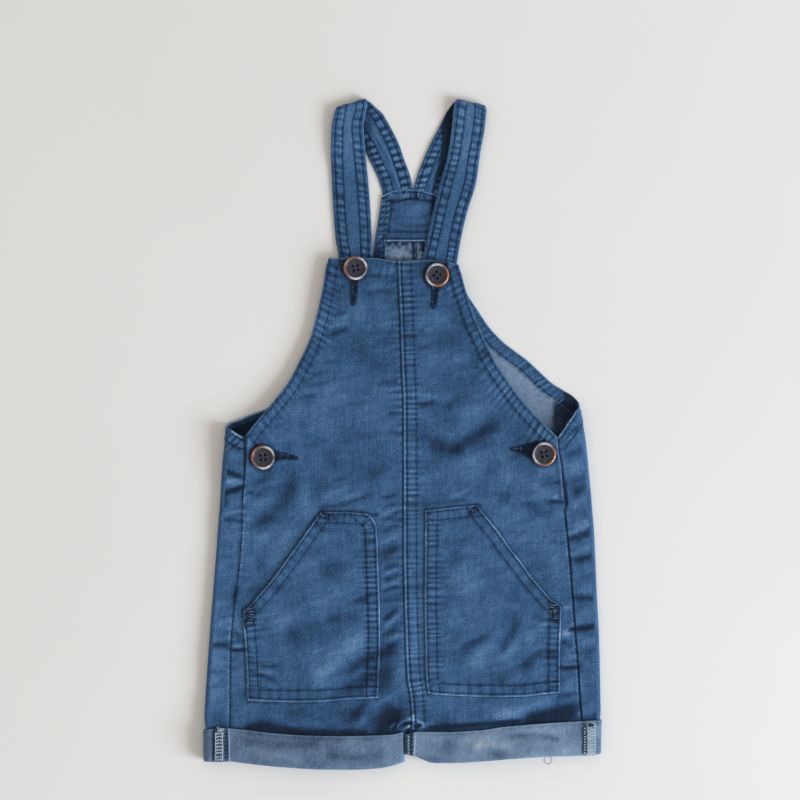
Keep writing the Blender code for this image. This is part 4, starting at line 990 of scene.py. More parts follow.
# ------------------------------------------------------------------ materials
class Nodes:
    """A material's node tree, built by name."""

    def __init__(self, name):
        self.mat = bpy.data.materials.new(name)
        self.mat.use_nodes = True
        self.tree = self.mat.node_tree
        self.shader = self.tree.nodes["Principled BSDF"]

    def new(self, kind, **values):
        node = self.tree.nodes.new(kind)
        for key, value in values.items():
            setattr(node, key, value)
        return node

    def link(self, a, b):
        self.tree.links.new(a, b)

    def attribute(self, name):
        return self.new("ShaderNodeAttribute", attribute_name=name)

    def scaled(self, vector, size):
        node = self.new("ShaderNodeVectorMath", operation="MULTIPLY")
        self.link(vector, node.inputs[0])
        node.inputs[1].default_value = size
        return node.outputs[0]

    def noise(self, vector, detail=2.0, rough=0.5, distort=0.0, scale=1.0):
        node = self.new("ShaderNodeTexNoise")
        node.noise_dimensions = "3D"
        self.link(vector, node.inputs["Vector"])
        node.inputs["Scale"].default_value = scale
        node.inputs["Detail"].default_value = detail
        node.inputs["Roughness"].default_value = rough
        node.inputs["Distortion"].default_value = distort
        return node.outputs["Fac"]

    def math(self, operation, a, b=None, c=None):
        node = self.new("ShaderNodeMath", operation=operation)
        for i, v in enumerate((a, b, c)):
            if v is None:
                continue
            if isinstance(v, (int, float)):
                node.inputs[i].default_value = v
            else:
                self.link(v, node.inputs[i])
        return node.outputs[0]

    def total(self, parts):
        """Sum of (value, gain, middle)."""
        out = None
        for value, gain, middle in parts:
            part = self.math("MULTIPLY_ADD", value, gain, -gain * middle)
            out = part if out is None else self.math("ADD", out, part)
        return out

    def ramp(self, value, low, high, stops):
        span = self.new("ShaderNodeMapRange")
        self.link(value, span.inputs["Value"])
        span.inputs["From Min"].default_value = low
        span.inputs["From Max"].default_value = high
        node = self.new("ShaderNodeValToRGB")
        self.link(span.outputs[0], node.inputs["Fac"])
        e = node.color_ramp.elements
        while len(e) < len(stops):
            e.new(0.5)
        for k, (at, colour) in enumerate(stops):
            e[k].position = at
            e[k].color = (*colour, 1.0)
        return node.outputs["Color"]

    def mix(self, fac, a, b):
        node = self.new("ShaderNodeMix", data_type="RGBA")
        for socket, v in ((node.inputs[0], fac), (node.inputs[6], a), (node.inputs[7], b)):
            if isinstance(v, (int, float)):
                socket.default_value = v
            elif isinstance(v, tuple):
                socket.default_value = (*v, 1.0)
            else:
                self.link(v, socket)
        return node.outputs[2]

    def bump(self, height, distance, strength=1.0, normal=None):
        node = self.new("ShaderNodeBump")
        node.inputs["Strength"].default_value = strength
        node.inputs["Distance"].default_value = distance
        self.link(height, node.inputs["Height"])
        if normal is not None:
            self.link(normal, node.inputs["Normal"])
        return node.outputs["Normal"]

    def set(self, **values):
        names = {"roughness": "Roughness", "specular": "Specular IOR Level",
                 "sheen": "Sheen Weight", "sheen_rough": "Sheen Roughness",
                 "sheen_tint": "Sheen Tint", "coat": "Coat Weight",
                 "coat_rough": "Coat Roughness", "colour": "Base Color",
                 "metallic": "Metallic", "ior": "IOR"}
        for key, v in values.items():
            socket = self.shader.inputs[names[key]]
            if isinstance(v, (int, float)):
                socket.default_value = v
            elif isinstance(v, tuple):
                socket.default_value = (*v, 1.0)
            else:
                self.link(v, socket)


def denim():
    """Washed light denim: right side blue, wrong side paler, both by attributes."""
    n = Nodes("denim")
    cloth = n.attribute("cloth").outputs["Vector"]
    tone = n.attribute("tone").outputs["Fac"]
    wrong = n.attribute("reverse").outputs["Fac"]
    warp = n.noise(n.scaled(cloth, (1.25, 0.055, 1.0)), 3.0, 0.62)
    warp_wide = n.noise(n.scaled(cloth, (0.42, 0.022, 1.0)), 2.0, 0.5)
    weft = n.noise(n.scaled(cloth, (0.05, 1.1, 1.0)), 2.0, 0.6)
    patch = n.noise(n.scaled(cloth, (0.075, 0.060, 1.0)), 3.0, 0.55, 0.4)
    cloud = n.noise(n.scaled(cloth, (0.30, 0.24, 1.0)), 3.0, 0.6)
    grain = n.noise(n.scaled(cloth, (1.9, 1.5, 1.0)), 2.0, 0.7)
    speck = n.noise(n.scaled(cloth, (0.95, 0.80, 1.0)), 1.0, 0.5)
    split = n.new("ShaderNodeSeparateXYZ")
    n.link(cloth, split.inputs[0])
    across, along = split.outputs[0], split.outputs[1]
    # right-hand twill: warp yarns 0.42 mm apart, floats stepping one yarn a pick
    diag = n.math("ADD", across, n.math("MULTIPLY", along, 0.72))
    twill = n.math("SINE", n.math("MULTIPLY", diag, 2 * math.pi / 0.86))
    yarn = n.math("SINE", n.math("MULTIPLY", across, 2 * math.pi / 0.43))
    pick = n.math("SINE", n.math("MULTIPLY", along, 2 * math.pi / 0.55))
    value = n.total([
        (tone, 1.0, 0.0), (warp, 0.62, 0.5), (warp_wide, 0.28, 0.5),
        (weft, 0.26, 0.5), (patch, 0.36, 0.5), (cloud, 0.55, 0.5),
        (grain, 1.60, 0.5), (speck, 0.95, 0.5), (twill, 0.055, 0.0), (pick, 0.02, 0.0),
    ])
    # the wrong side shows the weft: softer, with no streaks
    value_wrong = n.total([
        (tone, 1.0, 0.0), (warp, 0.20, 0.5), (weft, 0.14, 0.5), (patch, 0.55, 0.5),
        (cloud, 0.60, 0.5), (grain, 0.80, 0.5), (speck, 0.50, 0.5), (twill, 0.03, 0.0),
    ])
    blue = n.ramp(value, -1.0, 1.2, [
        (0.0, (0.0054, 0.0158, 0.042)), (0.22, (0.0140, 0.0448, 0.111)),
        (0.455, (0.0352, 0.1030, 0.232)), (0.66, (0.081, 0.184, 0.356)),
        (0.86, (0.190, 0.315, 0.480)), (1.0, (0.46, 0.57, 0.69)),
    ])
    pale = n.ramp(value_wrong, -1.0, 1.2, [
        (0.0, (0.012, 0.024, 0.055)), (0.22, (0.045, 0.082, 0.150)),
        (0.455, (0.122, 0.198, 0.318)), (0.70, (0.215, 0.310, 0.445)),
        (1.0, (0.52, 0.60, 0.68)),
    ])
    n.set(colour=n.mix(wrong, blue, pale), specular=0.18, sheen=0.22,
          sheen_rough=0.45, sheen_tint=(0.55, 0.68, 0.85))
    rough = n.total([(grain, 0.10, 0.5), (warp, 0.10, 0.5)])
    n.set(roughness=n.math("ADD", rough, 0.84))
    fine = n.total([(twill, 0.32, 0.0), (yarn, 0.18, 0.0), (pick, 0.14, 0.0),
                    (warp, 1.5, 0.5), (weft, 0.9, 0.5), (grain, 0.9, 0.5)])
    soft = n.total([(cloud, 1.0, 0.5)])
    normal = n.bump(soft, 0.0011, 0.75)
    n.link(n.bump(fine, 0.00017, 0.9, normal), n.shader.inputs["Normal"])
    return n.mat


def thread(name, colour, light):
    n = Nodes(name)
    place_at = n.new("ShaderNodeTexCoord").outputs["Object"]
    fluff = n.noise(n.scaled(place_at, (1000.0, 1000.0, 1000.0)), 2.0, 0.6, 0.0, 2.2)
    ply = n.new("ShaderNodeTexWave", wave_type="BANDS", bands_direction="DIAGONAL")
    n.link(place_at, ply.inputs["Vector"])
    ply.inputs["Scale"].default_value = 900.0
    ply.inputs["Distortion"].default_value = 1.5
    n.set(colour=n.mix(n.math("MULTIPLY", fluff, 0.8), colour, light), roughness=0.75,
          specular=0.12, sheen=0.04)
    n.link(n.bump(ply.outputs["Fac"], 0.00005, 0.6), n.shader.inputs["Normal"])
    return n.mat


def button_middle():
    n = Nodes("button_middle")
    p = n.new("ShaderNodeTexCoord").outputs["Object"]
    cloud = n.noise(n.scaled(p, (520.0, 520.0, 520.0)), 4.0, 0.6, 0.6)
    fine = n.noise(n.scaled(p, (3000.0, 3000.0, 3000.0)), 2.0, 0.5)
    colour = n.ramp(cloud, 0.3, 0.75, [
        (0.0, (0.010, 0.012, 0.022)), (0.6, (0.032, 0.033, 0.055)),
        (1.0, (0.075, 0.070, 0.095)),
    ])
    n.set(colour=colour, roughness=n.total([(fine, 0.18, -1.9)]), specular=0.4)
    n.link(n.bump(fine, 0.00006, 0.5), n.shader.inputs["Normal"])
    return n.mat


def button_rim(turn):
    """Horn-like rim with dark streaks; round the button, pale with painted highlights, a painted copper glow of
    light through the horn, and painted shade.
    """
    n = Nodes("button_rim")
    p = n.new("ShaderNodeTexCoord").outputs["Object"]
    split = n.new("ShaderNodeSeparateXYZ")
    n.link(p, split.inputs[0])
    angle = n.math("ARCTAN2", split.outputs[1], split.outputs[0])
    swing = n.math("COSINE", n.math("SUBTRACT", angle, turn))
    streak = n.noise(n.scaled(p, (420.0, 420.0, 900.0)), 4.0, 0.65, 1.2)
    far = n.math("SQRT", n.math("ADD", n.math("MULTIPLY", split.outputs[0], split.outputs[0]),
                                n.math("MULTIPLY", split.outputs[1], split.outputs[1])))
    outer = n.math("MULTIPLY", far, 1000.0 * 2 / BUTTON_D)
    painted_glow_level = n.total([(swing, 0.30, 0.0), (outer, 2.6, 0.90), (streak, 0.55, 0.5)])
    painted_copper_glow = n.ramp(painted_glow_level, -0.30, 0.45, [
        (0.0, (0.30, 0.275, 0.275)), (0.35, (0.17, 0.12, 0.11)), (0.55, (0.13, 0.052, 0.035)),
        (0.78, (0.33, 0.105, 0.030)), (1.0, (0.52, 0.19, 0.06)),
    ])
    pale_and_painted_highlight = n.ramp(streak, 0.3, 0.7, [
        (0.0, (0.34, 0.32, 0.33)), (0.5, (0.56, 0.54, 0.55)), (1.0, (0.80, 0.79, 0.80))])
    half = n.math("MULTIPLY_ADD", swing, 1.8, 0.45)
    colour = n.mix(n.math("MINIMUM", n.math("MAXIMUM", half, 0.0), 1.0), pale_and_painted_highlight, painted_copper_glow)
    # painted shade: opposite the painted glow the rim is as dark as the middle
    dark = n.math("MULTIPLY_ADD", n.total([(swing, 1.0, 0.0), (streak, 0.5, 0.5)]), -3.2, -2.1)
    colour = n.mix(n.math("MINIMUM", n.math("MAXIMUM", dark, 0.0), 1.0), colour,
                   (0.045, 0.042, 0.060))
    n.set(colour=colour, roughness=0.16, specular=0.6, coat=0.7, coat_rough=0.06)
    n.link(n.bump(streak, 0.00004, 0.3), n.shader.inputs["Normal"])
    return n.mat


def floor_material():
    n = Nodes("pale_floor")
    p = n.new("ShaderNodeTexCoord").outputs["Object"]
    cloud = n.noise(n.scaled(p, (3.0, 3.0, 3.0)), 3.0, 0.5)
    n.set(colour=n.ramp(cloud, 0.2, 0.8, [
        (0.0, (0.765, 0.760, 0.752)), (1.0, (0.800, 0.797, 0.792))]),
        roughness=0.9, specular=0.1)
    return n.mat


DENIM = denim()
NAVY = thread("navy_thread", (0.004, 0.014, 0.042), (0.018, 0.050, 0.118))
PALE = thread("pale_thread", (0.42, 0.52, 0.61), (0.80, 0.88, 0.95))
FADED = thread("faded_thread", (0.12, 0.19, 0.29), (0.28, 0.38, 0.52))
INK = thread("ink_thread", (0.004, 0.006, 0.014), (0.014, 0.018, 0.036))


# ------------------------------------------------------------------ cloth details
class Detail:
    """Heights and tones added to one piece, by flat place."""

    def __init__(self, x, y):
        self.x, self.y = x, y
        self.h, self.up, self.down = (np.zeros(x.shape) for _ in range(3))
        self.tone, self.back = np.zeros(x.shape), np.zeros(x.shape)

    def hem(self, path, inside, width=8.5, raised=0.45, rows=(8.0,), pitch=3.8,
            amp=0.24, spill=5.0, seed=1, edge=0.45, slant=0.0, below=0.0,
            groove=0.17, shade=-0.05, beyond=0.75, start=0.0, stop=1e9):
        """A turned or felled band along an edge, its stitch rows and its gathers."""
        d, s = path.near(self.x, self.y, width + 3 * spill + 4)
        d = d * path.sided(inside)
        part = ease(start - 3, start, s) if start > 0 else 1.0
        if stop < path.length:
            part = part * ease(stop + 3, stop, s)
        part = part * ease(-1.5, -0.3, d)
        r = puckers(s + slant * d, pitch, seed)
        band = ease(width + 0.8, width - 0.2, d) * part
        within = band * ease(0.0, 1.6, d)
        reach = spill * (0.8 + 0.6 * noise1(s / (1.15 * pitch), seed + 3))
        far = ease(width - 0.8, width + 0.6, d) * np.exp(
            -((np.maximum(d - width, 0) / np.maximum(reach, 0.8)) ** 2)
        ) * part
        self.h += amp * r * (within + beyond * far)
        self.up += raised * band
        self.down += below * band
        r = r * (1.0 + 0.45 * noise1(s / 16.0, seed + 5))
        # the gathers lighter on their crests and darker in their hollows: partly the wash's wear on the crests,
        # partly painted shade
        light = np.where(r > 0, 1.25, 0.72) * r
        self.tone += 0.42 * amp / 0.24 * light * (within + 0.7 * beyond * far) + shade * band
        self.back += 0.20 * amp / 0.24 * r * (within + 0.7 * beyond * far)
        for row in rows:
            line = bell(d - row, 0.52) * part
            self.h -= groove * line
            self.tone -= 0.62 * line
            self.back -= 0.45 * line
        self.tone += edge * bell(d, 0.55) * part - 0.20 * bell(d - 1.5, 0.8) * part
        self.back += 0.6 * edge * bell(d, 0.55) * part
        if raised > 0.2:  # a step in the cloth, dark at its foot
            # painted shade at the foot of the step
            self.tone -= 0.22 * bell(d - width - 0.9, 0.9) * part
        return d, s, part

    def ditch(self, path, inside, depth=0.4, reach=1.0, dark=0.8, pitch=4.6,
              amp=0.16, spill=6.0, seed=1, start=0.0, stop=1e9, edge=0.0):
        """The sunk side of a seam, with short gathers running off it."""
        d, s = path.near(self.x, self.y, 3 * spill + 4)
        d = d * path.sided(inside)
        part = ease(start - 4, start, s) if start > 0 else 1.0
        if stop < path.length:
            part = part * ease(stop + 4, stop, s)
        part = part * ease(-1.5, -0.3, d)
        r = puckers(s, pitch, seed)
        long = spill * (0.9 + 0.9 * noise1(s / (1.1 * pitch), seed + 3))
        run = np.exp(-((np.maximum(d, 0) / np.maximum(long, 1.0)) ** 2)) * part
        size = 0.65 + 0.5 * noise1(s / 23.0, seed + 7)
        self.h += amp * r * run * size - depth * bell(d, reach) * part
        # the ditch darker, partly its less worn dye and partly painted shade; the gathers partly wear and partly
        # painted light and shade
        deep = dark * (0.72 + 0.38 * noise1(s / 9.0, seed + 9))
        self.tone += 0.36 * amp / 0.16 * r * run * size - deep * bell(d, 0.75 * reach) * part
        self.tone += edge * bell(d - 0.2, 0.5) * part
        self.back += 0.14 * r * run * size
        return d, s, part

    def crease(self, points, width, height, tone=1.0):
        path = Path(points)
        d, s = path.near(self.x, self.y, 3 * width + 3)
        end = min(0.45 * path.length, 2.0 * width + 2.0)
        ends = ease(0, end, s) * ease(path.length, path.length - end, s)
        h = height * ends * (bell(d, width) - 0.2 * bell(np.abs(d) - 2 * width, width))
        self.h += h
        # painted shade in a trough and painted light on a ridge, from its height
        self.tone += tone * 0.55 * h / (0.35 + 0.16 * width)
        self.back -= 0.2 * h / (0.35 + 0.16 * width)


FINE = (0, 0.35, 0.8, 1.35, 2.0, 2.8, 3.7, 4.7, 5.7, 6.6, 7.3, 7.9, 8.5, 9.1, 9.8,
        10.8, 12.0)
SHORT = (0, 0.4, 0.95, 1.7, 2.7, 3.9)


def stations(first, last, mid):
    """Offsets from the first and the last edge, and the share between them."""
    a = np.concatenate([first, np.full(mid, first[-1]), np.full(len(last), first[-1])])
    b = np.concatenate([np.full(len(first), last[-1]), np.full(mid, last[-1]),
                        np.array(last)[::-1]])
    t = np.concatenate([np.zeros(len(first)), np.arange(1, mid + 1) / (mid + 1),
                        np.ones(len(last))])
    return a, b, t


def slope_factor(edge, low, high):
    """How much longer a level step to a slanting edge is than the square one."""
    ys = np.linspace(low, high, 500)
    k = np.sqrt(1 + np.gradient(edge(ys), ys) ** 2)
    k = np.convolve(np.pad(k, 6, mode="edge"), np.ones(13) / 13, "valid")
    return lambda y: np.interp(y, ys, k)


# ------------------------------------------------------------------ the front
def front_outer(side, y):
    edge = smooth(FRONT_EDGE[:, 0], FRONT_EDGE[:, 1 if side < 0 else 2], y)
    return np.where(y < -4.2, seam_x(side, y) - side * GAP / 2, edge)


def leg_end(side, x, share=1.0):
    end = smooth(CUFF_END[side][:, 0], CUFF_END[side][:, 1], x)
    return CROTCH + (end + LEG_END - CROTCH) * share


def front_grid(side):
    a, b, t = stations(FINE, FINE, 62)
    ra, rb, rt = stations((0, 1.2, 2.4), FINE, 276)
    k = slope_factor(lambda y: front_outer(side, y), -260, 131)
    y = np.linspace(-250, 129, len(rt))[:, None] * np.ones(len(t))
    x = np.zeros(y.shape)
    for _ in range(7):
        inner = inner_x(side, y, 1) + side * GAP / 2
        outer = front_outer(side, y)
        room = np.abs(outer - inner)
        kb = np.minimum(k(y), (room - 14) / 12)
        x = (inner + side * a) * (1 - t) + (outer - side * b * kb) * t
        bottom = leg_end(side, x)
        top = smooth(BIB_TOP[:, 0], BIB_TOP[:, 1], x)
        y = (bottom + ra[:, None]) * (1 - rt[:, None]) + (top - rb[:, None]) * rt[:, None]
    return x, y


def front(side, name):
    x, y = front_grid(side)
    z, tone = surface(x, y)
    d = Detail(x, y)
    inside = (side * 50.0, 20.0)
    centre = Path(np.stack([x[:, 0], y[:, 0]], 1), rounded=False)
    arm_y = np.linspace(-4.2, 128.5, 80)
    arm = Path(np.stack([front_outer(side, arm_y), arm_y], 1), rounded=False)
    seam_y = np.linspace(-4.2, -246, 120)
    side_seam = Path(np.stack([front_outer(side, seam_y), seam_y], 1), rounded=False)
    top = Path([(x[-1, j], y[-1, j]) for j in range(0, x.shape[1], 4)] + [(x[-1, -1], y[-1, -1])],
               rounded=False)
    low = centre.length
    if side < 0:
        d.ditch(centre, inside, 0.40, 0.85, 0.85, 5.2, 0.20, 7.5, 11)
    else:
        d.hem(centre, inside, 9.9, 0.50, (2.9, 9.6), 4.4, 0.29, 6.5, 21, 0.0,
              beyond=0.85, stop=low - 2)
        dd, _ = centre.near(x, y, 12)
        dd = np.abs(dd)
        d.tone += 0.72 * bell(dd - 1.2, 0.55) - 0.40 * bell(dd, 0.45)
        d.tone -= 0.50 * bell(dd - 2.7, 0.6)
    d.hem(arm, inside, 8.4, 0.50, (7.9,), 5.0, 0.33, 7.5, 31 + side, 0.26, slant=0.25,
          beyond=1.0)
    d.tone -= 0.22 * bell(np.abs(arm.near(x, y, 8)[0]) - 1.7, 0.6)
    d.hem(top, (side * 20.0, 60.0), 12.6, 0.28, (), 5.0, 0.10, 3.0, 41 + side, 0.75)
    # the slit stands open above its stop, the seam is closed below it
    slit = 50.0 if side < 0 else 54.0
    dd, ss, part = d.ditch(side_seam, inside, 0.40, 0.9 if side < 0 else 1.15,
                           0.62 if side < 0 else 0.90, 6.0, 0.15, 5.5,
                           51 + side, start=slit, edge=0.0)
    d.tone += (0.30 * bell(dd - 1.7, 0.6) * ease(slit, slit + 12, ss) * (np.abs(dd) < 900)
               * (ease(-122.0, -110.0, y) if side < 0 else 1.0))
    free = ease(slit + 3, slit - 6, ss) * bell(dd, 3.2) * (np.abs(dd) < 900)
    d.h += 0.35 * free
    line = ease(slit + 3, slit - 3, ss) * (np.abs(dd) < 900)
    uneven = 0.5 + 0.5 * noise1(ss / 5.0, 55 + side)
    if side < 0:  # the left slit gapes at its top
        gap = 0.4 + 1.5 * ease(40.0, 2.0, ss)
        # painted shade in the open gap of the slit, beside the light line of its edge
        d.tone += line * (0.50 * uneven * bell(dd - gap - 0.9, 0.5)
                          - 1.25 * ease(gap + 0.5, gap - 0.4, dd))
    else:
        d.tone += line * (0.62 * uneven * bell(dd - 0.6, 0.55) - 0.25 * bell(dd - 2.3, 0.8))
    d.up += 0.25 * ease(9.5, 8.5, np.abs(dd)) * line
    # buttonhole of the bib and of the side opening, with painted shade in the open slit and along its edges
    for slot, first, last, depth in SLOTS[side]:
        p = Path(slot)
        ds, sl = p.near(x, y, 12)
        ds = np.abs(ds)
        share = np.clip(sl / p.length, -0.05, 1.1)
        wide = first + (last - first) * share
        open_ = ease(wide + 1.1, wide - 0.3, ds) * ease(-3.0, 0.5, sl) * ease(
            p.length + 3.0, p.length - 0.5, sl) * (ds < 900)
        ragged = 1 + 0.30 * noise2(x / 1.1, y / 1.1, 67)
        d.up += 0.22 * bell(ds - wide, 1.2) * (ds < 900)
        d.tone -= depth * open_ * ragged * (1 - 0.45 * ease(0.45, 0.75, share) * (first > 4))
        d.tone -= 0.5 * bell(ds - wide - 0.4, 0.6) * ease(-1.0, 2.0, sl) * ease(
            p.length + 2.5, p.length, sl) * (ds < 900)
        d.h -= 0.5 * open_
    # dark round the buttons, most on the side away from the light
    for _, bx, by, gap, which in BUTTONS:
        if which == side:
            far, turn = np.hypot(x - bx, y - by), np.arctan2(y - by, x - bx)
            away = 0.5 + 0.5 * np.cos(turn - math.radians(160))
            d.tone -= (0.25 + 0.65 * away) * ease(12.2, 9.2, far)
            d.h -= 0.25 * ease(12.0, 9.0, far)
    # the pocket's shadow just outside its edges
    for key, points in POCKET[side].items():
        dp = np.abs(Path(points, rounded=False).near(x, y, 8)[0])
        d.tone -= {"slant": 0.62, "top": 0.62}.get(key, 0.36) * ease(1.9, 0.5, dp)
    h, tn = d.h, tone + d.tone
    mid = np.stack([x, y, z], -1)
    piece = Cloth(name, mid, np.stack([x, y], -1), (0, 0, 1), h, WALL / 2 + d.up,
                  WALL / 2 + d.down, tn, 0.0, "denim", DENIM, tone_down=d.back)
    piece.lines = {"centre": centre, "arm": arm, "side": side_seam, "top": top}
    return piece


# slots of the buttonholes: points from the button, half widths, darkness of the painted shade in the slit
SLOTS = {
    -1: [([(-36.4, 114.5), (-36.9, 104.0), (-37.4, 97.0)], 2.5, 1.5, 1.0),
         ([(-97.5, -17.6), (-89.0, -18.2), (-80.0, -19.4)], 3.3, 0.5, 0.85)],
    1: [([(24.2, 110.5), (23.4, 101.0), (22.6, 94.6)], 2.5, 1.5, 1.0),
        ([(99.0, -13.6), (90.0, -13.0), (81.5, -12.8)], 6.0, 0.3, 1.25)],
}


# ------------------------------------------------------------------ the back
BACK_Z = 0.85


def fold_place(side, y, turn, outset=0.0):
    """Round a side fold, turn 0 at the back and pi at the front."""
    low = back_lift(y) + BACK_Z
    edge = fold_x(side, y)
    high = front_z(edge - side * 3.0, y)
    r = (high - low) / 2
    x = edge - side * (CAD_WALL / 2 + r)
    return (x + side * (r + outset) * np.sin(turn), low + r - (r + outset) * np.cos(turn),
            x, r)


def back(side, name):
    edge = BACK_EDGE_LEFT if side < 0 else BACK_EDGE_RIGHT
    fold_y, half_y, seam_y = RETURNED[side]

    def arm_x(y):
        return smooth(edge[:, 0], edge[:, 1], y)

    def start_x(y):
        return fold_place(side, y, 0.0)[2]

    ys = np.linspace(edge[0, 0], edge[0, 0] + 14, 600)
    corner = float(ys[np.argmax(side * (start_x(ys) - arm_x(ys)) > 0)])

    def outer(y):
        return np.where(y > corner, arm_x(y), start_x(np.minimum(y, corner)))

    a, b, t = stations(SHORT + (5.3,), FINE, 44)
    flat_n = len(t)
    n_fold = 14
    ret = np.concatenate([np.linspace(0.06, 0.88, 13), [0.925, 0.96, 0.982, 1.0]])
    n_ret = len(ret)
    cols = flat_n + n_fold + n_ret
    ra, rb, rt = stations((0, 1.5), FINE, 128)
    wb, wt = stations((0,), FINE, 118)[1:]
    low_n = len(rt)
    rows = low_n + len(wt) - 1
    k = slope_factor(arm_x, corner, 177)

    x, y, z, s_flat = (np.zeros((rows, cols)) for _ in range(4))
    yy = np.linspace(-250, 170, rows)[:, None] * np.ones(flat_n)
    for _ in range(9):
        inner = inner_x(side, yy, 2) + side * GAP / 2
        limit = outer(yy)
        kk = np.where(yy > corner, k(yy), 1.0)
        kk = np.minimum(kk, (np.abs(limit - inner) - 8) / 12)
        xx = (inner + side * a) * (1 - t) + (limit - side * b * kk) * t
        bottom = leg_end(side, xx)
        top = smooth(TAB_TOP[:, 0], TAB_TOP[:, 1], xx)
        low = (bottom[:low_n] + ra[:, None]) * (1 - rt[:, None])
        low = low + (corner - rb[:, None]) * rt[:, None]
        high = corner * (1 - wt[1:, None]) + (top[low_n:] - wb[1:, None]) * wt[1:, None]
        yy = np.concatenate([low, high])
    x[:, :flat_n], y[:, :flat_n] = xx, yy
    z[:, :flat_n] = back_lift(yy) + BACK_Z
    s_flat[:, :flat_n] = xx
    keep = np.ones((rows, cols), bool)
    keep[low_n:, flat_n:] = False

    def column(top, bottom):
        return (bottom + ra[:, None]) * (1 - rt[:, None]) + (top - rb[:, None]) * rt[:, None]

    # round the fold
    turn = np.arange(1, n_fold + 1) / n_fold * math.pi
    top = corner + (fold_y - corner) * turn / math.pi
    yy = column(top, leg_end(side, np.full(n_fold, float(fold_x(side, -240)))))
    fx, fz, begin, r = fold_place(side, yy, turn[None, :])
    s = slice(flat_n, flat_n + n_fold)
    x[:low_n, s], y[:low_n, s], z[:low_n, s] = fx, yy, fz
    s_flat[:low_n, s] = begin + side * r * turn
    # and back on top to the side seam
    top = np.where(ret < 0.5, fold_y + (half_y - fold_y) * ret * 2,
                   half_y + (seam_y - half_y) * (ret * 2 - 1))
    yy = np.full((low_n, n_ret), -100.0)
    for _ in range(6):
        begin, r = fold_place(side, yy, math.pi)[2:]
        last = seam_x(side, yy) + side * GAP / 2
        xx = begin + (last - begin) * ret
        yy = column(top, leg_end(side, xx))
    s = slice(flat_n + n_fold, cols)
    x[:low_n, s], y[:low_n, s] = xx, yy
    tone = np.zeros(x.shape)
    z[:low_n, s], tone[:low_n, s] = surface(xx, yy)
    s_flat[:low_n, s] = begin + side * (math.pi * r + np.abs(xx - begin))
    for q in (x, y, z, s_flat):  # the unused corner of the grid, for tidy normals
        q[low_n:, flat_n:] = q[low_n:, flat_n - 1:flat_n]
    x[low_n:, flat_n:] += side * 0.7 * np.arange(1, cols - flat_n + 1)
    s_flat[low_n:, flat_n:] += side * 0.7 * np.arange(1, cols - flat_n + 1)

    d = Detail(s_flat, y)
    inside = (side * 60.0, -60.0)
    centre = Path(np.stack([s_flat[:, 0], y[:, 0]], 1), rounded=False)
    outline = Path(np.vstack([
        np.stack([s_flat[-1, :flat_n], y[-1, :flat_n]], 1),
        np.stack([s_flat[low_n - 1:-1, flat_n - 1], y[low_n - 1:-1, flat_n - 1]], 1)[::-1],
        np.stack([s_flat[low_n - 1, flat_n:], y[low_n - 1, flat_n:]], 1),
    ]), rounded=False)
    side_seam = Path(np.stack([s_flat[:low_n, -1], y[:low_n, -1]], 1), rounded=False)
    if side < 0:
        d.ditch(centre, inside, 0.25, 1.0, 0.8, 5.0, 0.14, 6.0, 111)
        d.hem(centre, inside, 2.6, 0.25, (2.2,), 4.2, 0.12, 3.0, 112, 0.1)
    else:
        d.hem(centre, inside, 4.8, 0.40, (4.4,), 4.2, 0.22, 5.0, 121, 0.5, below=0.15)
    d.hem(outline, inside, 8.6, 0.42, (8.0,), 3.9, 0.26, 5.0, 131 + side, 0.5,
          slant=0.3, below=0.10)
    d.ditch(side_seam, inside, 0.40, 0.9, 0.50 if side < 0 else 0.75, 6.0, 0.13, 4.5, 141 + side,
            stop=side_seam.length - (50.0 if side < 0 else 54.0))
    for points, width, height in BACK_CREASES[side]:
        d.crease(points, width, height, -1.0)
    flat_part = np.ones(x.shape)
    flat_part[:, flat_n:] = np.linspace(1, 0, n_fold + n_ret) ** 3
    swell = 0.16 * noise2(x / 37 + 11, y / 41, 61 + side) + 0.10 * noise2(x / 14, y / 12, 63)
    h = d.h + flat_part * swell
    dist = np.abs(outline.near(s_flat, y, 12)[0])
    before = d.tone.copy()
    tone_in = d.tone + 0.10 * noise2(x / 19, y / 23, 65)
    # painted shade deep in the corners of the armholes, with light lines along the hem edges; on the right a
    # sharp painted shadow edge, and painted light on the reverse beside it
    if side < 0:
        corner_in = ease(-88.0, -99.0, x) * ease(-40.0, -20.0, y) * ease(34.0, 24.0, y)
        deep = 0.16 + 1.24 * ease(3.7, 5.3, dist + 0.6 * noise2(x / 3.0, y / 3.0, 68))
        deep += 0.55 * bell(dist - 2.7, 0.5) + 0.30 * bell(dist - 1.5, 0.4)
        deep -= 0.90 * bell(dist - 8.4, 0.8) * ease(-124.0, -114.0, x)
        deep += 0.25 * bell(np.hypot((x + 122) / 9, (y + 1) / 6), 1.0)
        tone_in -= (deep + 0.18 * noise2(x / 2.2, y / 2.0, 69)) * corner_in
        tone_in += 1.10 * bell(dist - 0.5, 0.65) * corner_in
    else:
        wall = 111.6 + 0.07 * y
        wall = wall + 6.5 * ease(9.6, 8.4, dist)
        tone_in -= 0.80 * ease(wall - 0.7, wall + 1.4, x) * ease(36.0, 28.0, y)
        tone_in -= 0.35 * bell(np.hypot((x - 125) / 9, (y - 20) / 9), 1.0)
        tone_in += 0.55 * bell(dist - 9.6, 0.7) * ease(106.0, 113.0, x) * ease(36.0, 30.0, y)
        tone_in += 0.34 * ease(wall, wall - 2.0, x) * ease(9.5, 10.5, dist) * ease(
            -30.0, -10.0, y) * ease(96.0, 70.0, y)
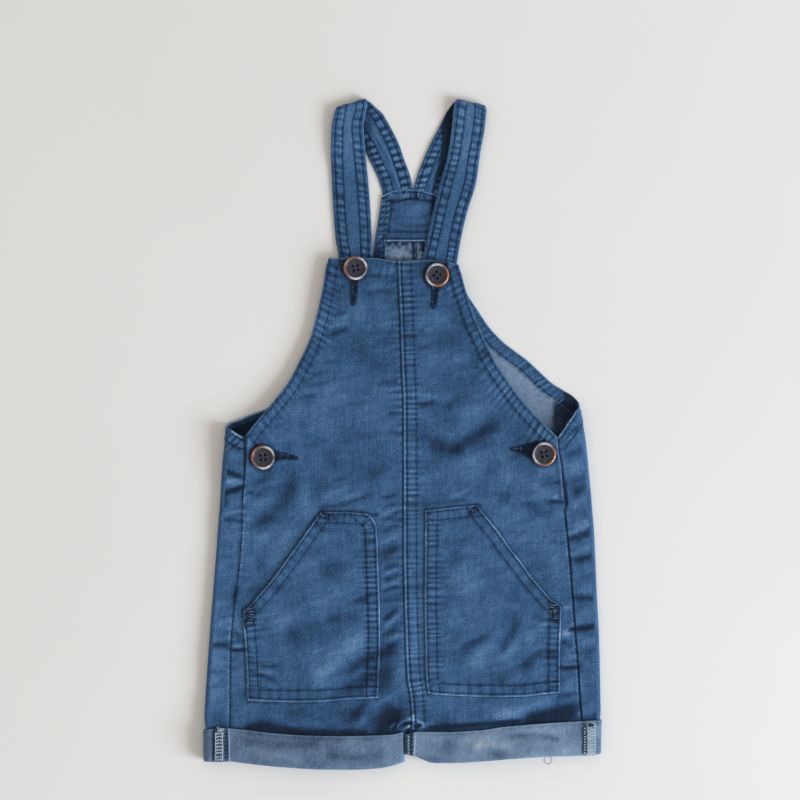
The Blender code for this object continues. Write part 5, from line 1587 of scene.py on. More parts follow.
    # the tab's turned edges lie in the straps' shade
    d.tone -= 0.20 * ease(118, 130, y) * ease(10.5, 9.0, dist) * ease(174, 168, y)
    tab = ease(128.0, 134.0, y)
    left_in = np.interp(y, FACING[:, 0], FACING[:, 1])  # the facing's left edge
    to_hem = x - left_in
    top_gap = smooth(TAB_TOP[:, 0], TAB_TOP[:, 1], x) - y
    under = ease(176.5, 171.0, y)
    d.tone += tab * under * (0.95 * bell(to_hem + 0.7, 0.55) - 0.55 * bell(to_hem + 2.1, 0.6))
    # slanting gathers on the tab's hem, drawn only in tone: painted light on their crests and shade in their
    # hollows
    streak = puckers(y - 0.9 * (x + 16) + 0.6 * noise2(x / 3.0, y / 3.0, 70), 4.3, 71)
    d.tone += tab * under * 0.46 * streak * ease(-0.6, -2.0, to_hem) * (x < 0) * ease(
        0.6, 2.0, dist)
    # painted shadow at the lower left of the tab's hem
    d.tone -= 1.05 * bell(np.hypot((x + 19.5) / 5.0, (y - 133.5) / 7.5), 1.0)
    band = ease(168.0, 172.0, y)
    d.tone += band * (0.56 * bell(top_gap - 0.7, 0.55) - 0.75 * bell(top_gap - 1.9, 0.55)
                      - 1.00 * bell(y - np.interp(x, TAB_ROW[:, 0], TAB_ROW[:, 1]), 0.65))
    d.tone += band * 0.22 * noise2(x / 1.3, y / 2.4, 72) * ease(0.5, 2.0, top_gap)
    # painted shadow of the right strap's edge
    d.tone -= 1.3 * bell(x - 22.6 - 0.10 * (y - 172), 1.0) * ease(160.0, 170.0, y) * ease(
        0.2, 1.2, top_gap)
    # the reverse below the facing: its shade, and the seam's dark folds
    pale = ease(144.5, 142.8, y) * ease(126.0, 129.0, y) * ease(-0.5, 0.5, to_hem)
    ragged = 1.6 * noise1(x / 2.4, 73) + 1.2 * noise1(x / 0.9, 74)
    d.tone += pale * (-0.10 - 0.90 * ease(139.5, 142.2, y + ragged) + 0.55 * noise2(x / 2.6, y / 2.2, 75)
                      + 0.45 * bell(np.hypot((x + 2) / 7.0, (y - 133) / 4.0), 1.0)
                      - 0.95 * bell(x - 7.9, 0.7) - 1.1 * bell(x - 14.8, 1.1) * ease(134, 138, y))
    tone_in += d.tone - before
    slit = side_seam.length - (52.0 if side < 0 else 56.0)
    dd, ss = side_seam.near(s_flat, y, 8)
    open_ = ease(slit, slit + 8, ss) * (np.abs(dd) < 900)
    wide = 1.7 if side < 0 else 0.9 + 1.9 * ease(46.0, 6.0, np.maximum(ss - slit, 0.0) * 1.0)
    # painted shade in the open slit
    d.tone -= 1.25 * open_ * (0.25 * bell(dd, 1.7) if side < 0
                              else ease(wide + 0.6, wide - 0.5, dd))
    d.h -= 0.35 * open_ * bell(dd, 1.5)
    tone_out = tone + d.tone * 0.95 + flat_part * 0.14 * noise2(x / 26, y / 21, 66)
    ret_part = (np.arange(cols) >= flat_n + n_fold)[None, :] * np.ones((rows, 1))
    tone_out += ret_part * (0.60 * bell(dist - 0.35, 0.5) - 0.55 * bell(dist - 2.1, 0.6)
                            - 0.40 * bell(dist - 8.0, 0.7))
    if side < 0:  # the seam's light edge, strongest low on the leg and beside the slit
        off = np.abs(x - seam_x(side, y))
        low_edge = ease(-122.0, -134.0, y) + 0.7 * ease(-44.0, -34.0, y)
        tone_out += ret_part * (y < -6) * 0.62 * low_edge * bell(off - 0.9, 0.55) * (
            1 + 0.6 * noise1(y / 4.0, 381))
    # between the surface it lies on and the front that lies on it
    flat_zone = (np.arange(cols) < flat_n)[None, :] * np.ones((rows, 1))
    low = z - WALL / 2 - d.down + h
    h = np.where(flat_zone > 0, np.maximum(h, h + (0.06 - low)), h)
    covered = ease(4, 14, dist) * flat_zone * ease(128, 118, y) * (y < 128)
    over = z + WALL / 2 + d.up + h - (1.62 + back_lift(y))
    h = h - np.maximum(over, 0) * covered
    piece = Cloth(name, np.stack([x, y, z], -1), np.stack([s_flat, y], -1), (0, 0, 1),
                  h, WALL / 2 + d.up, WALL / 2 + d.down, tone_in, 1.0 - ease(8.9, 8.3, dist),
                  "denim", DENIM, tone_down=tone_out, face_down=0.0, keep=keep)
    piece.lines = {"centre": centre, "outline": outline, "side": side_seam}
    piece.inside = inside
    return piece


TAB_ROW = np.array([(-15.0, 175.2), (-8.0, 171.9), (3.9, 174.6), (12.0, 174.2),
                    (21.4, 172.7), (30.0, 171.0)])

# creases of the back, seen from underneath: the cloth rises off the surface
BACK_CREASES = {
    -1: [
        (((-20, 120), (-10, 100), (4, 88)), 5, 0.45), (((-55, 70), (-30, 60), (-5, 62)), 7, 0.5),
        (((-110, 0), (-85, -22), (-60, -60)), 8, 0.75), (((-125, -30), (-100, -45), (-85, -72)), 5, 0.5),
        (((-60, -10), (-35, -4), (-8, -8)), 6, 0.5), (((-95, -90), (-60, -84), (-30, -92)), 8, 0.5),
        (((-120, -120), (-95, -132), (-80, -150)), 6, 0.55), (((-60, -130), (-35, -150), (-5, -160)), 7, 0.6),
        (((-130, -170), (-100, -176), (-70, -172)), 5, 0.45), (((-40, -190), (-20, -202), (0, -208)), 6, 0.8),
        (((-15, -176), (-4, -190), (4, -204)), 4, 0.6), (((-90, -196), (-60, -200), (-40, -198)), 4, 0.4),
    ],
    1: [
        (((18, 130), (24, 108), (36, 96)), 5, 0.45), (((14, 66), (40, 58), (62, 62)), 7, 0.5),
        (((118, 4), (92, -20), (70, -52)), 8, 0.8), (((126, -38), (104, -52), (92, -80)), 5, 0.5),
        (((12, -2), (36, 2), (58, -10)), 6, 0.45), (((30, -84), (62, -92), (96, -86)), 8, 0.55),
        (((126, -118), (100, -128), (84, -148)), 6, 0.55), (((12, -152), (40, -140), (64, -126)), 7, 0.6),
        (((72, -168), (100, -174), (132, -166)), 5, 0.45), (((14, -206), (30, -198), (46, -184)), 6, 0.8),
        (((10, -196), (16, -184), (26, -172)), 4, 0.55), (((50, -202), (76, -198), (100, -196)), 4, 0.4),
    ],
}


# ------------------------------------------------------------------ pockets
def pocket(side, name):
    spec = POCKET[side]
    inner = np.array(spec["inner"])
    outer = np.array(spec["outer"] + spec["slant"][1:]) if side < 0 else np.array(
        spec["outer"] + spec["slant"][1:])
    outer = outer[np.argsort(outer[:, 1])]
    inner = inner[np.argsort(inner[:, 1])]
    bottom = np.array(spec["bottom"])
    bottom = bottom[np.argsort(bottom[:, 0])]
    top = np.array(spec["top"])
    top = top[np.argsort(top[:, 0])]

    def out_x(y):
        return np.interp(y, outer[:, 1], outer[:, 0])

    def in_x(y):
        return np.interp(y, inner[:, 1], inner[:, 0])

    k = slope_factor(out_x, -203, -54)
    a, b, t = stations(FINE, FINE, 58)
    ra, rb, rt = stations(FINE, FINE, 92)
    y = np.linspace(-199, -61, len(rt))[:, None] * np.ones(len(t))
    for _ in range(8):
        first, last = in_x(y), out_x(y)
        room = np.abs(last - first)
        kb = np.minimum(k(y), (room - 14) / 12)
        squeeze = np.clip(room / 40.0, 0.2, 1.0)
        kb = np.maximum(kb, 0.3)
        x = (first + side * a * squeeze) * (1 - t) + (last - side * b * kb * squeeze) * t
        low = np.interp(x, bottom[:, 0], bottom[:, 1])
        high = np.interp(x, top[:, 0], top[:, 1])
        y = (low + ra[:, None]) * (1 - rt[:, None]) + (high - rb[:, None]) * rt[:, None]
    z, tone = surface(x, y)
    middle = (side * 60.0, -140.0)
    d = Detail(x, y)
    paths = {key: Path(spec[key], rounded=False) for key in spec}
    marks = []
    settings = {
        "bottom": (8.6, 8.6, 0.13, 3.0, 0.85), "inner": (4.5, 8.8, 0.30, 5.5, 0.70),
        "top": (6.0, 8.6, 0.10, 2.5, 0.45), "slant": (8.0, 8.4, 0.12, 2.5, 0.80),
        "outer": (4.5, 8.4, 0.32, 6.5, 0.80),
    }
    near = np.full(x.shape, 1e3)
    dist = {}
    for key, path in paths.items():
        dd, ss = path.near(x, y, 40)
        dist[key] = (np.abs(dd), ss)
        near = np.minimum(near, np.abs(dd))
    for i, (key, path) in enumerate(paths.items()):
        pitch, width, amp, spill, edge = settings[key]
        dd, ss = dist[key]
        own = ease(-1.0, 1.5, np.min([v[0] for q, v in dist.items() if q != key], axis=0) - dd + 1.0)
        r = puckers(ss, pitch, 200 + 10 * i + side)
        band = ease(width + 0.8, width - 0.2, dd)
        reach = spill * (0.8 + 0.6 * noise1(ss / (1.15 * pitch), 230 + i))
        far = ease(width - 0.8, width + 0.6, dd) * np.exp(
            -((np.maximum(dd - width, 0) / np.maximum(reach, 0.8)) ** 2))
        wave = r * own * (band * ease(0, 1.6, dd) + 0.7 * far)
        d.h += amp * wave
        # the gathers lighter on their crests and darker in their hollows: partly wear on the crests, partly
        # painted shade
        d.tone += 1.7 * amp * np.where(wave > 0, 0.8, 1.2) * wave
        d.tone += edge * bell(dd, 0.5) * own * (0.8 + 0.35 * noise1(ss / 6.0, 260 + i))
        for row in (1.7, width - 0.5):
            d.h -= 0.16 * bell(dd - row, 0.55)
            d.tone -= 0.60 * bell(dd - row, 0.52)
    band = ease(9.2, 8.4, near)
    d.up += 0.45 * band
    # the sewn-on band a little darker, and painted shade at its foot
    d.tone -= 0.06 * band + 0.20 * bell(near - 9.4, 0.9)
    for a_, b_, wide, _, _ in TACKS[side]:  # drawn in and dark under the bar tacks
        da, sa = Path([a_, b_]).near(x, y, 8)
        part = ease(wide / 2 + 0.9, wide / 2 - 0.5, np.abs(da))
        d.tone -= (0.30 if wide > 5 else 0.45) * part * (
            1 + 0.8 * noise2(x / 1.1, y / 1.1, 270 + side))
        d.h -= 0.15 * part
    # sewn down on three sides; the slanted opening stands a little off
    d.h += 0.45 * ease(6, 0, dist["slant"][0]) * ease(0, 12, dist["top"][0]) * ease(0, 12, dist["outer"][0])
    d.h += 0.30 * ease(4, 30, near)
    rest = WALL / 2 + 0.12 + WALL / 2
    piece = Cloth(name, np.stack([x, y, z], -1), np.stack([x, y], -1), (0, 0, 1),
                  d.h + rest, WALL / 2 + d.up, WALL / 2, tone + d.tone, 0.0, "denim",
                  DENIM, tone_down=d.back)
    piece.lines = paths
    piece.dist = dist
    return piece


# ------------------------------------------------------------------ cuffs
def cuff(side, name):
    tops, ends = CUFF_TOP[side], CUFF_END[side]
    out = CAD_WALL + CUFF_REST
    r = out / 2
    wall = np.concatenate([[0, 0.35, 0.8, 1.4, 2.1], np.arange(3.1, 22.5, 1.05)]) / 22.5
    kinds = [("wall", w) for w in wall] + [("wall", 1.0)]
    kinds += [("turn", math.pi * q / 8) for q in range(1, 9)] + [("in", 0.7), ("in", 1.5)]
    n_side, n_fold, n_roll = 118, 14, 8
    t = np.arange(n_side + 1) / n_side
    grid, flats = [], []
    for kind, value in kinds:
        outset = r + r * math.cos(value) if kind == "turn" else (0.0 if kind == "in" else out)

        def level(x):
            top = smooth(tops[:, 0], tops[:, 1], x)
            low = smooth(ends[:, 0], ends[:, 1], x) + CAD_WALL / 2 + r
            if kind == "turn":
                return low - r * math.sin(value)
            if kind == "in":
                return low + value
            return top + (low - top) * value

        x = np.linspace(side * 5, side * 140, n_side + 1)
        for _ in range(6):
            y = level(x)
            a = np.full(x.shape, CUFF_IN[side]) + 0.012 * side * (y + 235)
            b = fold_place(side, y, math.pi)[0]
            x = a + (b - a) * t
        lower = np.stack([x, y, back_lift(y) + BACK_Z - outset], 1)
        upper = np.stack([x, y, front_z(x, y) + outset], 1)
        turns = math.pi * np.arange(1, n_fold + 1) / (n_fold + 1)
        yf = level(np.full(n_fold, float(fold_x(side, upper[-1, 1]))))
        fx, fz = fold_place(side, yf, turns, outset)[:2]
        around = np.stack([fx, yf, fz], 1)
        x0, y0 = upper[0, 0], upper[0, 1]
        half = (upper[0, 2] - lower[0, 2]) / 2
        rt = math.pi * np.arange(1, n_roll + 1) / (n_roll + 1)
        roll = np.stack([x0 - side * min(half, 1.7) * np.sin(rt), np.full(n_roll, y0),
                         lower[0, 2] + half + half * np.cos(rt)], 1)
        grid.append(np.vstack([lower, around, upper[::-1], roll]))
    p = np.array(grid)
    p[..., 2] = np.maximum(p[..., 2], WALL / 2 + 0.12)
    step = np.linalg.norm(np.roll(p[4], -1, 0) - p[4], axis=1)
    arc = np.concatenate([[0], np.cumsum(step)[:-1]])
    depth = np.array([0.0] + list(np.cumsum(np.linalg.norm(np.diff(p, axis=0), axis=-1).mean(1))))
    flat = np.zeros(p.shape[:2] + (2,))
    flat[..., 0] = arc[None, :]
    flat[..., 1] = -depth[:, None]
    xs, ys = p[..., 0], p[..., 1]
    up_zone = np.zeros(p.shape[:2])
    first, last = n_side + 1 + n_fold, n_side + 1 + n_fold + n_side + 1
    up_zone[:, first:last] = 1.0
    on_top = up_zone
    down = depth[:, None] * np.ones(p.shape[1])
    h, up, tone = (np.zeros(p.shape[:2]) for _ in range(3))
    # gentle waves of the turned cloth, longer than deep
    h += 0.22 * noise2(arc[None, :] / 17, -down / 15 + 3, 301 + side)
    h += 0.10 * noise2(arc[None, :] / 6.5, -down / 9, 303 + side)
    tone += 0.13 * noise2(arc[None, :] / 24, down / 14, 305 + side)
    tone += 0.09 * noise2(arc[None, :] / 9, down / 7, 307 + side) * (1.0 if side < 0 else 1.7)
    for points, width, height in CUFF_CREASES[side]:
        path = Path(points)
        dd, ss = path.near(xs, ys, 3 * width + 3)
        ends_ = ease(0, 4, ss) * ease(path.length, path.length - 4, ss)
        hh = height * ends_ * bell(dd, width) * on_top
        h += hh
        # painted shade in the creases' troughs and painted light on their ridges
        tone += 0.60 * hh / (0.35 + 0.16 * width)
    for cx, cy, rx, ry, painted_light_and_shade in CUFF_SHADES[side]:
        tone += painted_light_and_shade * bell(np.hypot((xs - cx) / rx, (ys - cy) / ry), 1.0) * on_top
    # the seam allowances of the outside and the inside seam, and their mirror below
    for lo, hi, lift, tint in CUFF_BANDS[side]:
        band = ease(lo - 0.35, lo + 0.25, xs) * ease(hi + 0.35, hi - 0.25, xs)
        band = band * np.where(on_top > 0, 1.0, np.where(p[..., 2] < 3, 0.8, 1.0))
        up += lift * band * ease(-0.1, 0.6, down) * (down < 24)
        tone += tint * band
    top_line = bell(down, 0.6)
    tone += 0.28 * top_line - 0.18 * bell(down - 1.6, 0.9)
    tone += 0.10 * bell(down - 23.5, 2.0)
    # painted light and shade: the left hem darker and the right one lighter, as the light falls; the left one
    # lighter towards its inner end
    tone += {-1: -0.20, 1: 0.17}[side] + (0.22 * ease(-18, -4, xs) if side < 0 else 0.0)
    h += 0.12 * puckers(arc[None, :], 7.0, 311 + side) * bell(down, 3.0)
    outward = np.zeros(p.shape)
    outward[:, :n_side + 1, 2], outward[:, first:last, 2] = -1.0, 1.0
    # the underside stays off the surface
    under_side = (outward[..., 2] < 0) | (p[..., 2] < 1.6)
    h = np.where(under_side, np.minimum(h, p[..., 2] - 0.45 - up), h)
    piece = Cloth(name, p, flat, outward, h, 0.4 + up, 0.4, tone, 1.0, "denim_reverse",
                  DENIM, ring=True, tone_down=tone * 0.3)
    piece.zone = (first, last)
    return piece


# broad lights and shades of the turned hems: middle, reach, tone
CUFF_SHADES = {
    -1: [(-76, -228, 22, 2.5, -0.14), (-112, -237, 18, 8, 0.14), (-26, -237, 10, 8, -0.10)],
    1: [(35, -234, 8, 12, -0.36), (62, -231, 15, 7, 0.34), (72, -240, 7, 4, -0.50),
        (24, -246, 7, 3, -0.30), (44, -238, 5, 8, 0.20),
        (18, -232, 7, 10, 0.18), (116, -238, 14, 4, 0.30), (100, -222, 18, 3, 0.18),
        (90, -240, 9, 4, 0.16), (128, -226, 6, 5, -0.24), (50, -242, 12, 3, 0.20)],
}
CUFF_CREASES = {
    -1: [(((-120, -231), (-90, -233), (-62, -232)), 3.0, -0.35),
         (((-60, -240), (-35, -243), (-14, -240)), 3.5, -0.4),
         (((-110, -243), (-92, -241), (-76, -243)), 3.0, 0.3)],
    1: [(((76, -227), (98, -226), (118, -229.5)), 2.2, -0.55),
        (((14, -232), (26, -235), (36, -230)), 4.0, -0.4),
        (((50, -236), (66, -233), (84, -235)), 3.0, 0.35),
        (((88, -238), (104, -236), (120, -238)), 3.0, -0.3)],
}
# low x, high x, thickness, tint
CUFF_BANDS = {
    -1: [(-150.0, -142.2, 0.20, 0.05), (-141.9, -140.9, 0.30, -0.90),
         (-140.3, -134.2, 0.55, -0.26), (-133.6, -132.2, 0.10, -0.30),
         (-132.0, -130.9, 0.10, -0.95),
         (-130.6, -129.2, 0.15, 0.60)],
    1: [(134.0, 137.0, 0.35, -0.16), (137.2, 143.6, 0.50, 0.42), (144.0, 150.0, 0.1, -0.22),
        (-0.6, 3.7, 0.35, -0.80), (4.7, 7.6, 0.35, -0.85), (3.9, 4.6, 0.3, 0.10),
        (8.0, 9.3, 0.15, 0.35)],
}


# ------------------------------------------------------------------ straps
STRAP_ROWS = (2.9, 8.4)


def strap(side, name, front_rows, crease, back_rows, seed):
    def dense(rows, n):
        keys = np.arange(len(rows))
        at = np.linspace(0, len(rows) - 1, n)
        return np.stack([smooth(keys, rows[:, k], at) for k in range(5)], 1)

    f, b = dense(front_rows, 220), dense(back_rows, 130)
    left = [np.stack([f[:, 0], f[:, 1], f[:, 4]], 1)]
    right = [np.stack([f[:, 2], f[:, 3], f[:, 4]], 1)]
    c = crease
    a0, b0 = np.array([c[0], c[1], 0.0]), np.array([c[2], c[3], 0.0])
    along = (b0 - a0) / np.linalg.norm(b0 - a0)
    up = np.array([-along[1], along[0], 0.0])
    low, high = back_rows[0, 4], c[4]
    r = (high - low) / 2
    turns = np.linspace(0, math.pi, 15)
    off = up * (r * np.sin(turns))[:, None] + np.array([0, 0, 1.0]) * (low + r + r * np.cos(turns))[:, None]
    left += [a0 + off, np.stack([b[:, 0], b[:, 1], b[:, 4]], 1)]
    right += [b0 + off, np.stack([b[:, 2], b[:, 3], b[:, 4]], 1)]
    left, right = np.vstack(left), np.vstack(right)
    for q in (left, right):  # round off the joints between the tables
        for _ in range(6):
            q[1:-1] = 0.25 * q[:-2] + 0.5 * q[1:-1] + 0.25 * q[2:]
    step = (np.linalg.norm(np.diff(left, axis=0), axis=1)
            + np.linalg.norm(np.diff(right, axis=0), axis=1)) / 2
    far = np.concatenate([[0], np.cumsum(step)])
    n = int(far[-1] / 0.92)
    s = np.linspace(0, far[-1], n)
    left = np.stack([np.interp(s, far, left[:, k]) for k in range(3)], 1)
    right = np.stack([np.interp(s, far, right[:, k]) for k in range(3)], 1)
    width = np.linalg.norm(right - left, axis=1)
    # the corners of the fold are rounded
    fold_at = far[f.shape[0] + 7]
    way = (right - left) / width[:, None]
    taper = (1.3 * np.exp(-(((s - fold_at) / 3.0) ** 2)))[:, None]
    left, right = left + way * taper, right - way * taper
    width = np.linalg.norm(right - left, axis=1)
    offs = np.array([0, 0.35, 0.8, 1.4, 2.0, 2.5, 2.9, 3.3, 3.9, 4.7, 5.6, 6.5, 7.3,
                     7.9, 8.4, 8.9, 9.6, 10.7, 11.9])
    share = np.concatenate([offs / 26.0, 1 - offs[::-1] / 26.0])
    p = left[:, None, :] + (right - left)[:, None, :] * share[None, :, None]
    across = share[None, :] * width[:, None]
    flat = np.stack([across, s[:, None] * np.ones(len(share))], -1)
    ss = s[:, None] * np.ones(len(share))
    edge = np.minimum(across, width[:, None] - across)
    which = (across > width[:, None] / 2).astype(float)
    h, up_t, tone = (np.zeros(edge.shape) for _ in range(3))
    one = puckers(ss + 0.2 * edge, 5.7, seed)
    two = puckers(ss + 3 - 0.2 * edge, 5.7, seed + 5)
    wave = np.tanh(1.9 * np.where(which > 0, two, one)) / 1.05
    band = ease(2.6, 3.4, edge) * ease(8.8, 8.0, edge)
    rim = ease(0.2, 1.4, edge) * ease(3.2, 2.6, edge)
    middle = ease(8.3, 9.4, edge)
    pillow = 0.30 * np.sin(math.pi * np.clip((edge - 2.9) / 5.5, 0, 1)) ** 0.7 * band
    up_t += pillow * (0.75 + 0.45 * wave) + 0.26 * wave * band + 0.16 * wave * rim
    up_t += 0.10 * middle
    up_t -= 0.30 * ease(0.9, 0.0, edge)
    for row in STRAP_ROWS:
        up_t -= 0.20 * bell(edge - row, 0.55)
        tone -= 0.64 * bell(edge - row, 0.72)
    fine = noise2(across / 1.6, ss / 2.1, seed + 21)
    # the puckers lighter on their crests and darker in their hollows: partly wear on the crests, partly painted
    # shade
    tone += np.where(wave > 0, 0.37, 0.50) * wave * band + 0.24 * wave * rim
    tone += 0.14 * middle + 0.06 * band + 0.24 * fine * (band + rim) - 0.10 * rim
    tone += 0.30 * bell(edge, 0.5) + 0.06 * noise2(across / 7, ss / 9, seed + 9)
    h += 0.20 * noise2(across / 26, ss / 19, seed + 11) + 0.10 * noise2(across / 9, ss / 8, seed + 12)
    h *= ease(0, 10, ss)
    h[p[..., 2] < 1.3] = np.maximum(h[p[..., 2] < 1.3], 0.05)
    # a crosswise crease or two, with painted light and shade from their height
    for at, width_, height in STRAP_CREASES[side]:
        g = height * bell(ss - at - 0.25 * (across - 13), width_)
        h += g
        tone += 0.30 * g
    # the shade inside the loop, under the folded top
    behind = ss > fold_at + 3.0
    px, py = p[..., 0], p[..., 1]
    # the part seen from below is more ruffled, and creased along its middle: painted light and shade on its
    # puckers and crease, and on the left it is painted darker in the loop's shade
    part = behind.astype(float)
    off_mid = across - (0.50 if side < 0 else 0.42) * width[:, None] + 0.5 * noise1(ss / 9.0, 79)
    tone += part * ((0.34 if side < 0 else 0.16) * wave * band + 0.22 * wave * rim
                    - (0.12 if side < 0 else 0.0) + 0.12 * noise2(px / 3.5, py / 4.5, 78))
    tone += part * (0.44 * bell(off_mid - 1.7, 0.8) - 0.48 * bell(off_mid, 0.8))
    up_t += part * (0.10 * bell(off_mid - 1.7, 0.9) - 0.12 * bell(off_mid, 0.8)) * ease(
        0.0, 6.0, ss - fold_at - 3.0)
    tone += (1 - part) * (0.27 * ease(186.0, 214.0, py) - 0.10)
    # painted shadow inside the loop, under the folded top: near black on the right strap, lighter on the left
    if side > 0:
        limit = np.interp(py, LOOP_SHADE[:, 1], LOOP_SHADE[:, 0])
        painted_loop_shadow = 1.18 + 0.30 * noise2(px / 2.4, py / 3.2, 74)
        tone -= painted_loop_shadow * behind * ease(limit - 0.6, limit + 1.3, px) * ease(176.0, 200.0, py)
    else:
        limit = np.interp(py, [180, 210, 240], [-27.0, -24.5, -25.0])
        tone -= 0.50 * behind * ease(limit + 3.0, limit - 1.5, px) * ease(188.0, 205.0, py)
    thick = 0.62
    low = p[..., 2] + h - thick - up_t
    h = h + np.maximum(0.08 - low, 0)
    piece = Cloth(name, p, flat, (0, 0, 1), h, thick + up_t, thick + up_t, tone, 0.0,
                  "denim", DENIM, tone_down=tone, face_down=0.0)
    piece.width, piece.length = width, s[-1]
    return piece


LOOP_SHADE = np.array([(20.0, 176.0), (23.0, 190.0), (28.5, 211.5), (28.8, 230.0),
                       (32.4, 240.0), (37.5, 249.0)])
STRAP_CREASES = {
    -1: [(44, 2.0, -0.25), (61, 1.8, 0.2), (96, 2.5, -0.25), (118, 3.0, -0.3), (160, 2.4, -0.25), (190, 2, 0.2)],
    1: [(38, 2.2, -0.25), (74, 2.0, -0.25), (104, 2.6, 0.25), (121, 3.0, -0.3), (158, 2.4, -0.2), (186, 2, -0.2)],
}


# ------------------------------------------------------------------ small pieces
def facing(name):
    rows = np.concatenate([[0, 0.3, 0.7, 1.2, 1.8, 2.6, 3.4], np.arange(4.3, 31.0, 0.85), [31.0]])
    y = 143.4 + rows
    left, right = smooth(FACING[:, 0], FACING[:, 1], y), smooth(FACING[:, 0], FACING[:, 2], y)
    t = np.linspace(0, 1, 56)
    x = left[:, None] + (right - left)[:, None] * t
    y = y[:, None] * np.ones(56) + 1.1 * (1 - ((x - 9) / 23) ** 2) * ease(143, 152, y)[:, None] * 0
    d = Detail(x, y)
    low = Path([(x[0, j], y[0, j]) for j in (0, 18, 37, 55)], rounded=False)
    d.hem(low, (9, 165), 7.5, 0.30, (1.6,), 6.0, 0.06, 2.0, 401, 0.95)
    # painted shadow of the strap along the right edge, and darker towards the top
    d.tone -= 0.35 * bell(x - right[:, None] + 1.5, 2.2) + 0.10 * ease(168, 173, y)
    d.tone -= 1.00 * bell(y - np.interp(x, TAB_ROW[:, 0], TAB_ROW[:, 1]), 0.65)
    # painted shadow of the right strap's edge
    d.tone -= 1.30 * bell(x - 22.6 - 0.10 * (y - 172), 1.0) * ease(160.0, 168.0, y)
    d.tone -= 0.75 * bell(x - left[:, None] - 1.5, 0.65) * ease(147.0, 151.0, y)
    # painted highlight: a sheen on the middle of the facing
    d.tone += 0.34 * bell(np.hypot((x - 8.0) / 9.0, (y - 163.0) / 7.0), 1.0)
    # painted light and shade of a crease above the turned edge, and a little darker all over
    d.tone += 0.26 * bell(y - 151.6, 0.7) - 0.50 * bell(y - 149.9, 0.7) - 0.15
    for points, width, height in (
        (((-11, 163), (2, 160.5), (14, 161.5), (28, 164)), 1.9, -0.20),
        (((-9, 158), (6, 154.6), (18, 155), (30, 158.5)), 1.5, -0.26),
        (((-11, 152.5), (4, 150.0), (16, 150.4), (31, 151)), 1.2, -0.22),
        (((-13, 169), (-8, 166.5), (-2, 166)), 1.3, -0.3),
        (((4, 168), (12, 169.5), (22, 168)), 2.4, 0.3),
    ):
        d.crease(points, width, height)
    z = np.full(x.shape, BACK_Z + WALL + 0.15)
    z += 0.35 * ease(0, 8, y - 143.4)[..., ] * 0 + 0.25 * bell(y - 150, 9)
    return Cloth(name, np.stack([x, y, z], -1), np.stack([x, y], -1), (0, 0, 1),
                 d.h, WALL / 2 + d.up, WALL / 2, d.tone, 0.0, "denim", DENIM)


def placket(side, name):
    table = PLACKET[side]
    y = np.linspace(-54, -6, 40)
    a, b = smooth(table[:, 0], table[:, 1], y), smooth(table[:, 0], table[:, 2], y)
    t = np.linspace(0, 1, 24)
    x = a[:, None] + (b - a)[:, None] * t
    y = y[:, None] * np.ones(24)
    z = surface(x, y)[0] - 1.0
    d = Detail(x, y)
    d.h += 0.08 * noise2(x / 6, y / 6, 421)
    outer = Path(np.stack([x[:, -1], y[:, -1]], 1), rounded=False)
    d.hem(outer, (a[20], -30), 6.0, 0.2, (2.0,), 5.0, 0.05, 2.0, 431, 0.3)
    # painted shade: darker all over, lying under the front's edge
    return Cloth(name, np.stack([x, y, z], -1), np.stack([x, y], -1), (0, 0, 1),
                 d.h, 0.3 + d.up * 0.5, 0.3, d.tone - 0.25, 0.0, "denim", DENIM)


# ------------------------------------------------------------------ sewing
def inset(path, offset, inside, others=(), clear=None):
    """The line that far inside an edge, cut off where it meets the other edges."""
    sign = path.sided(inside)
    s = np.arange(0.0, path.length, 0.6)
    p = path.at(s, np.full(len(s), sign * offset))
    ok = np.ones(len(s), bool)
    clear = offset if clear is None else clear
    for other in others:
        d, _ = other.near(p[:, 0], p[:, 1], 60)
        ok &= np.abs(d) > clear - 0.1
    p = p[ok]
    return Path(p, rounded=False) if len(p) > 4 else None


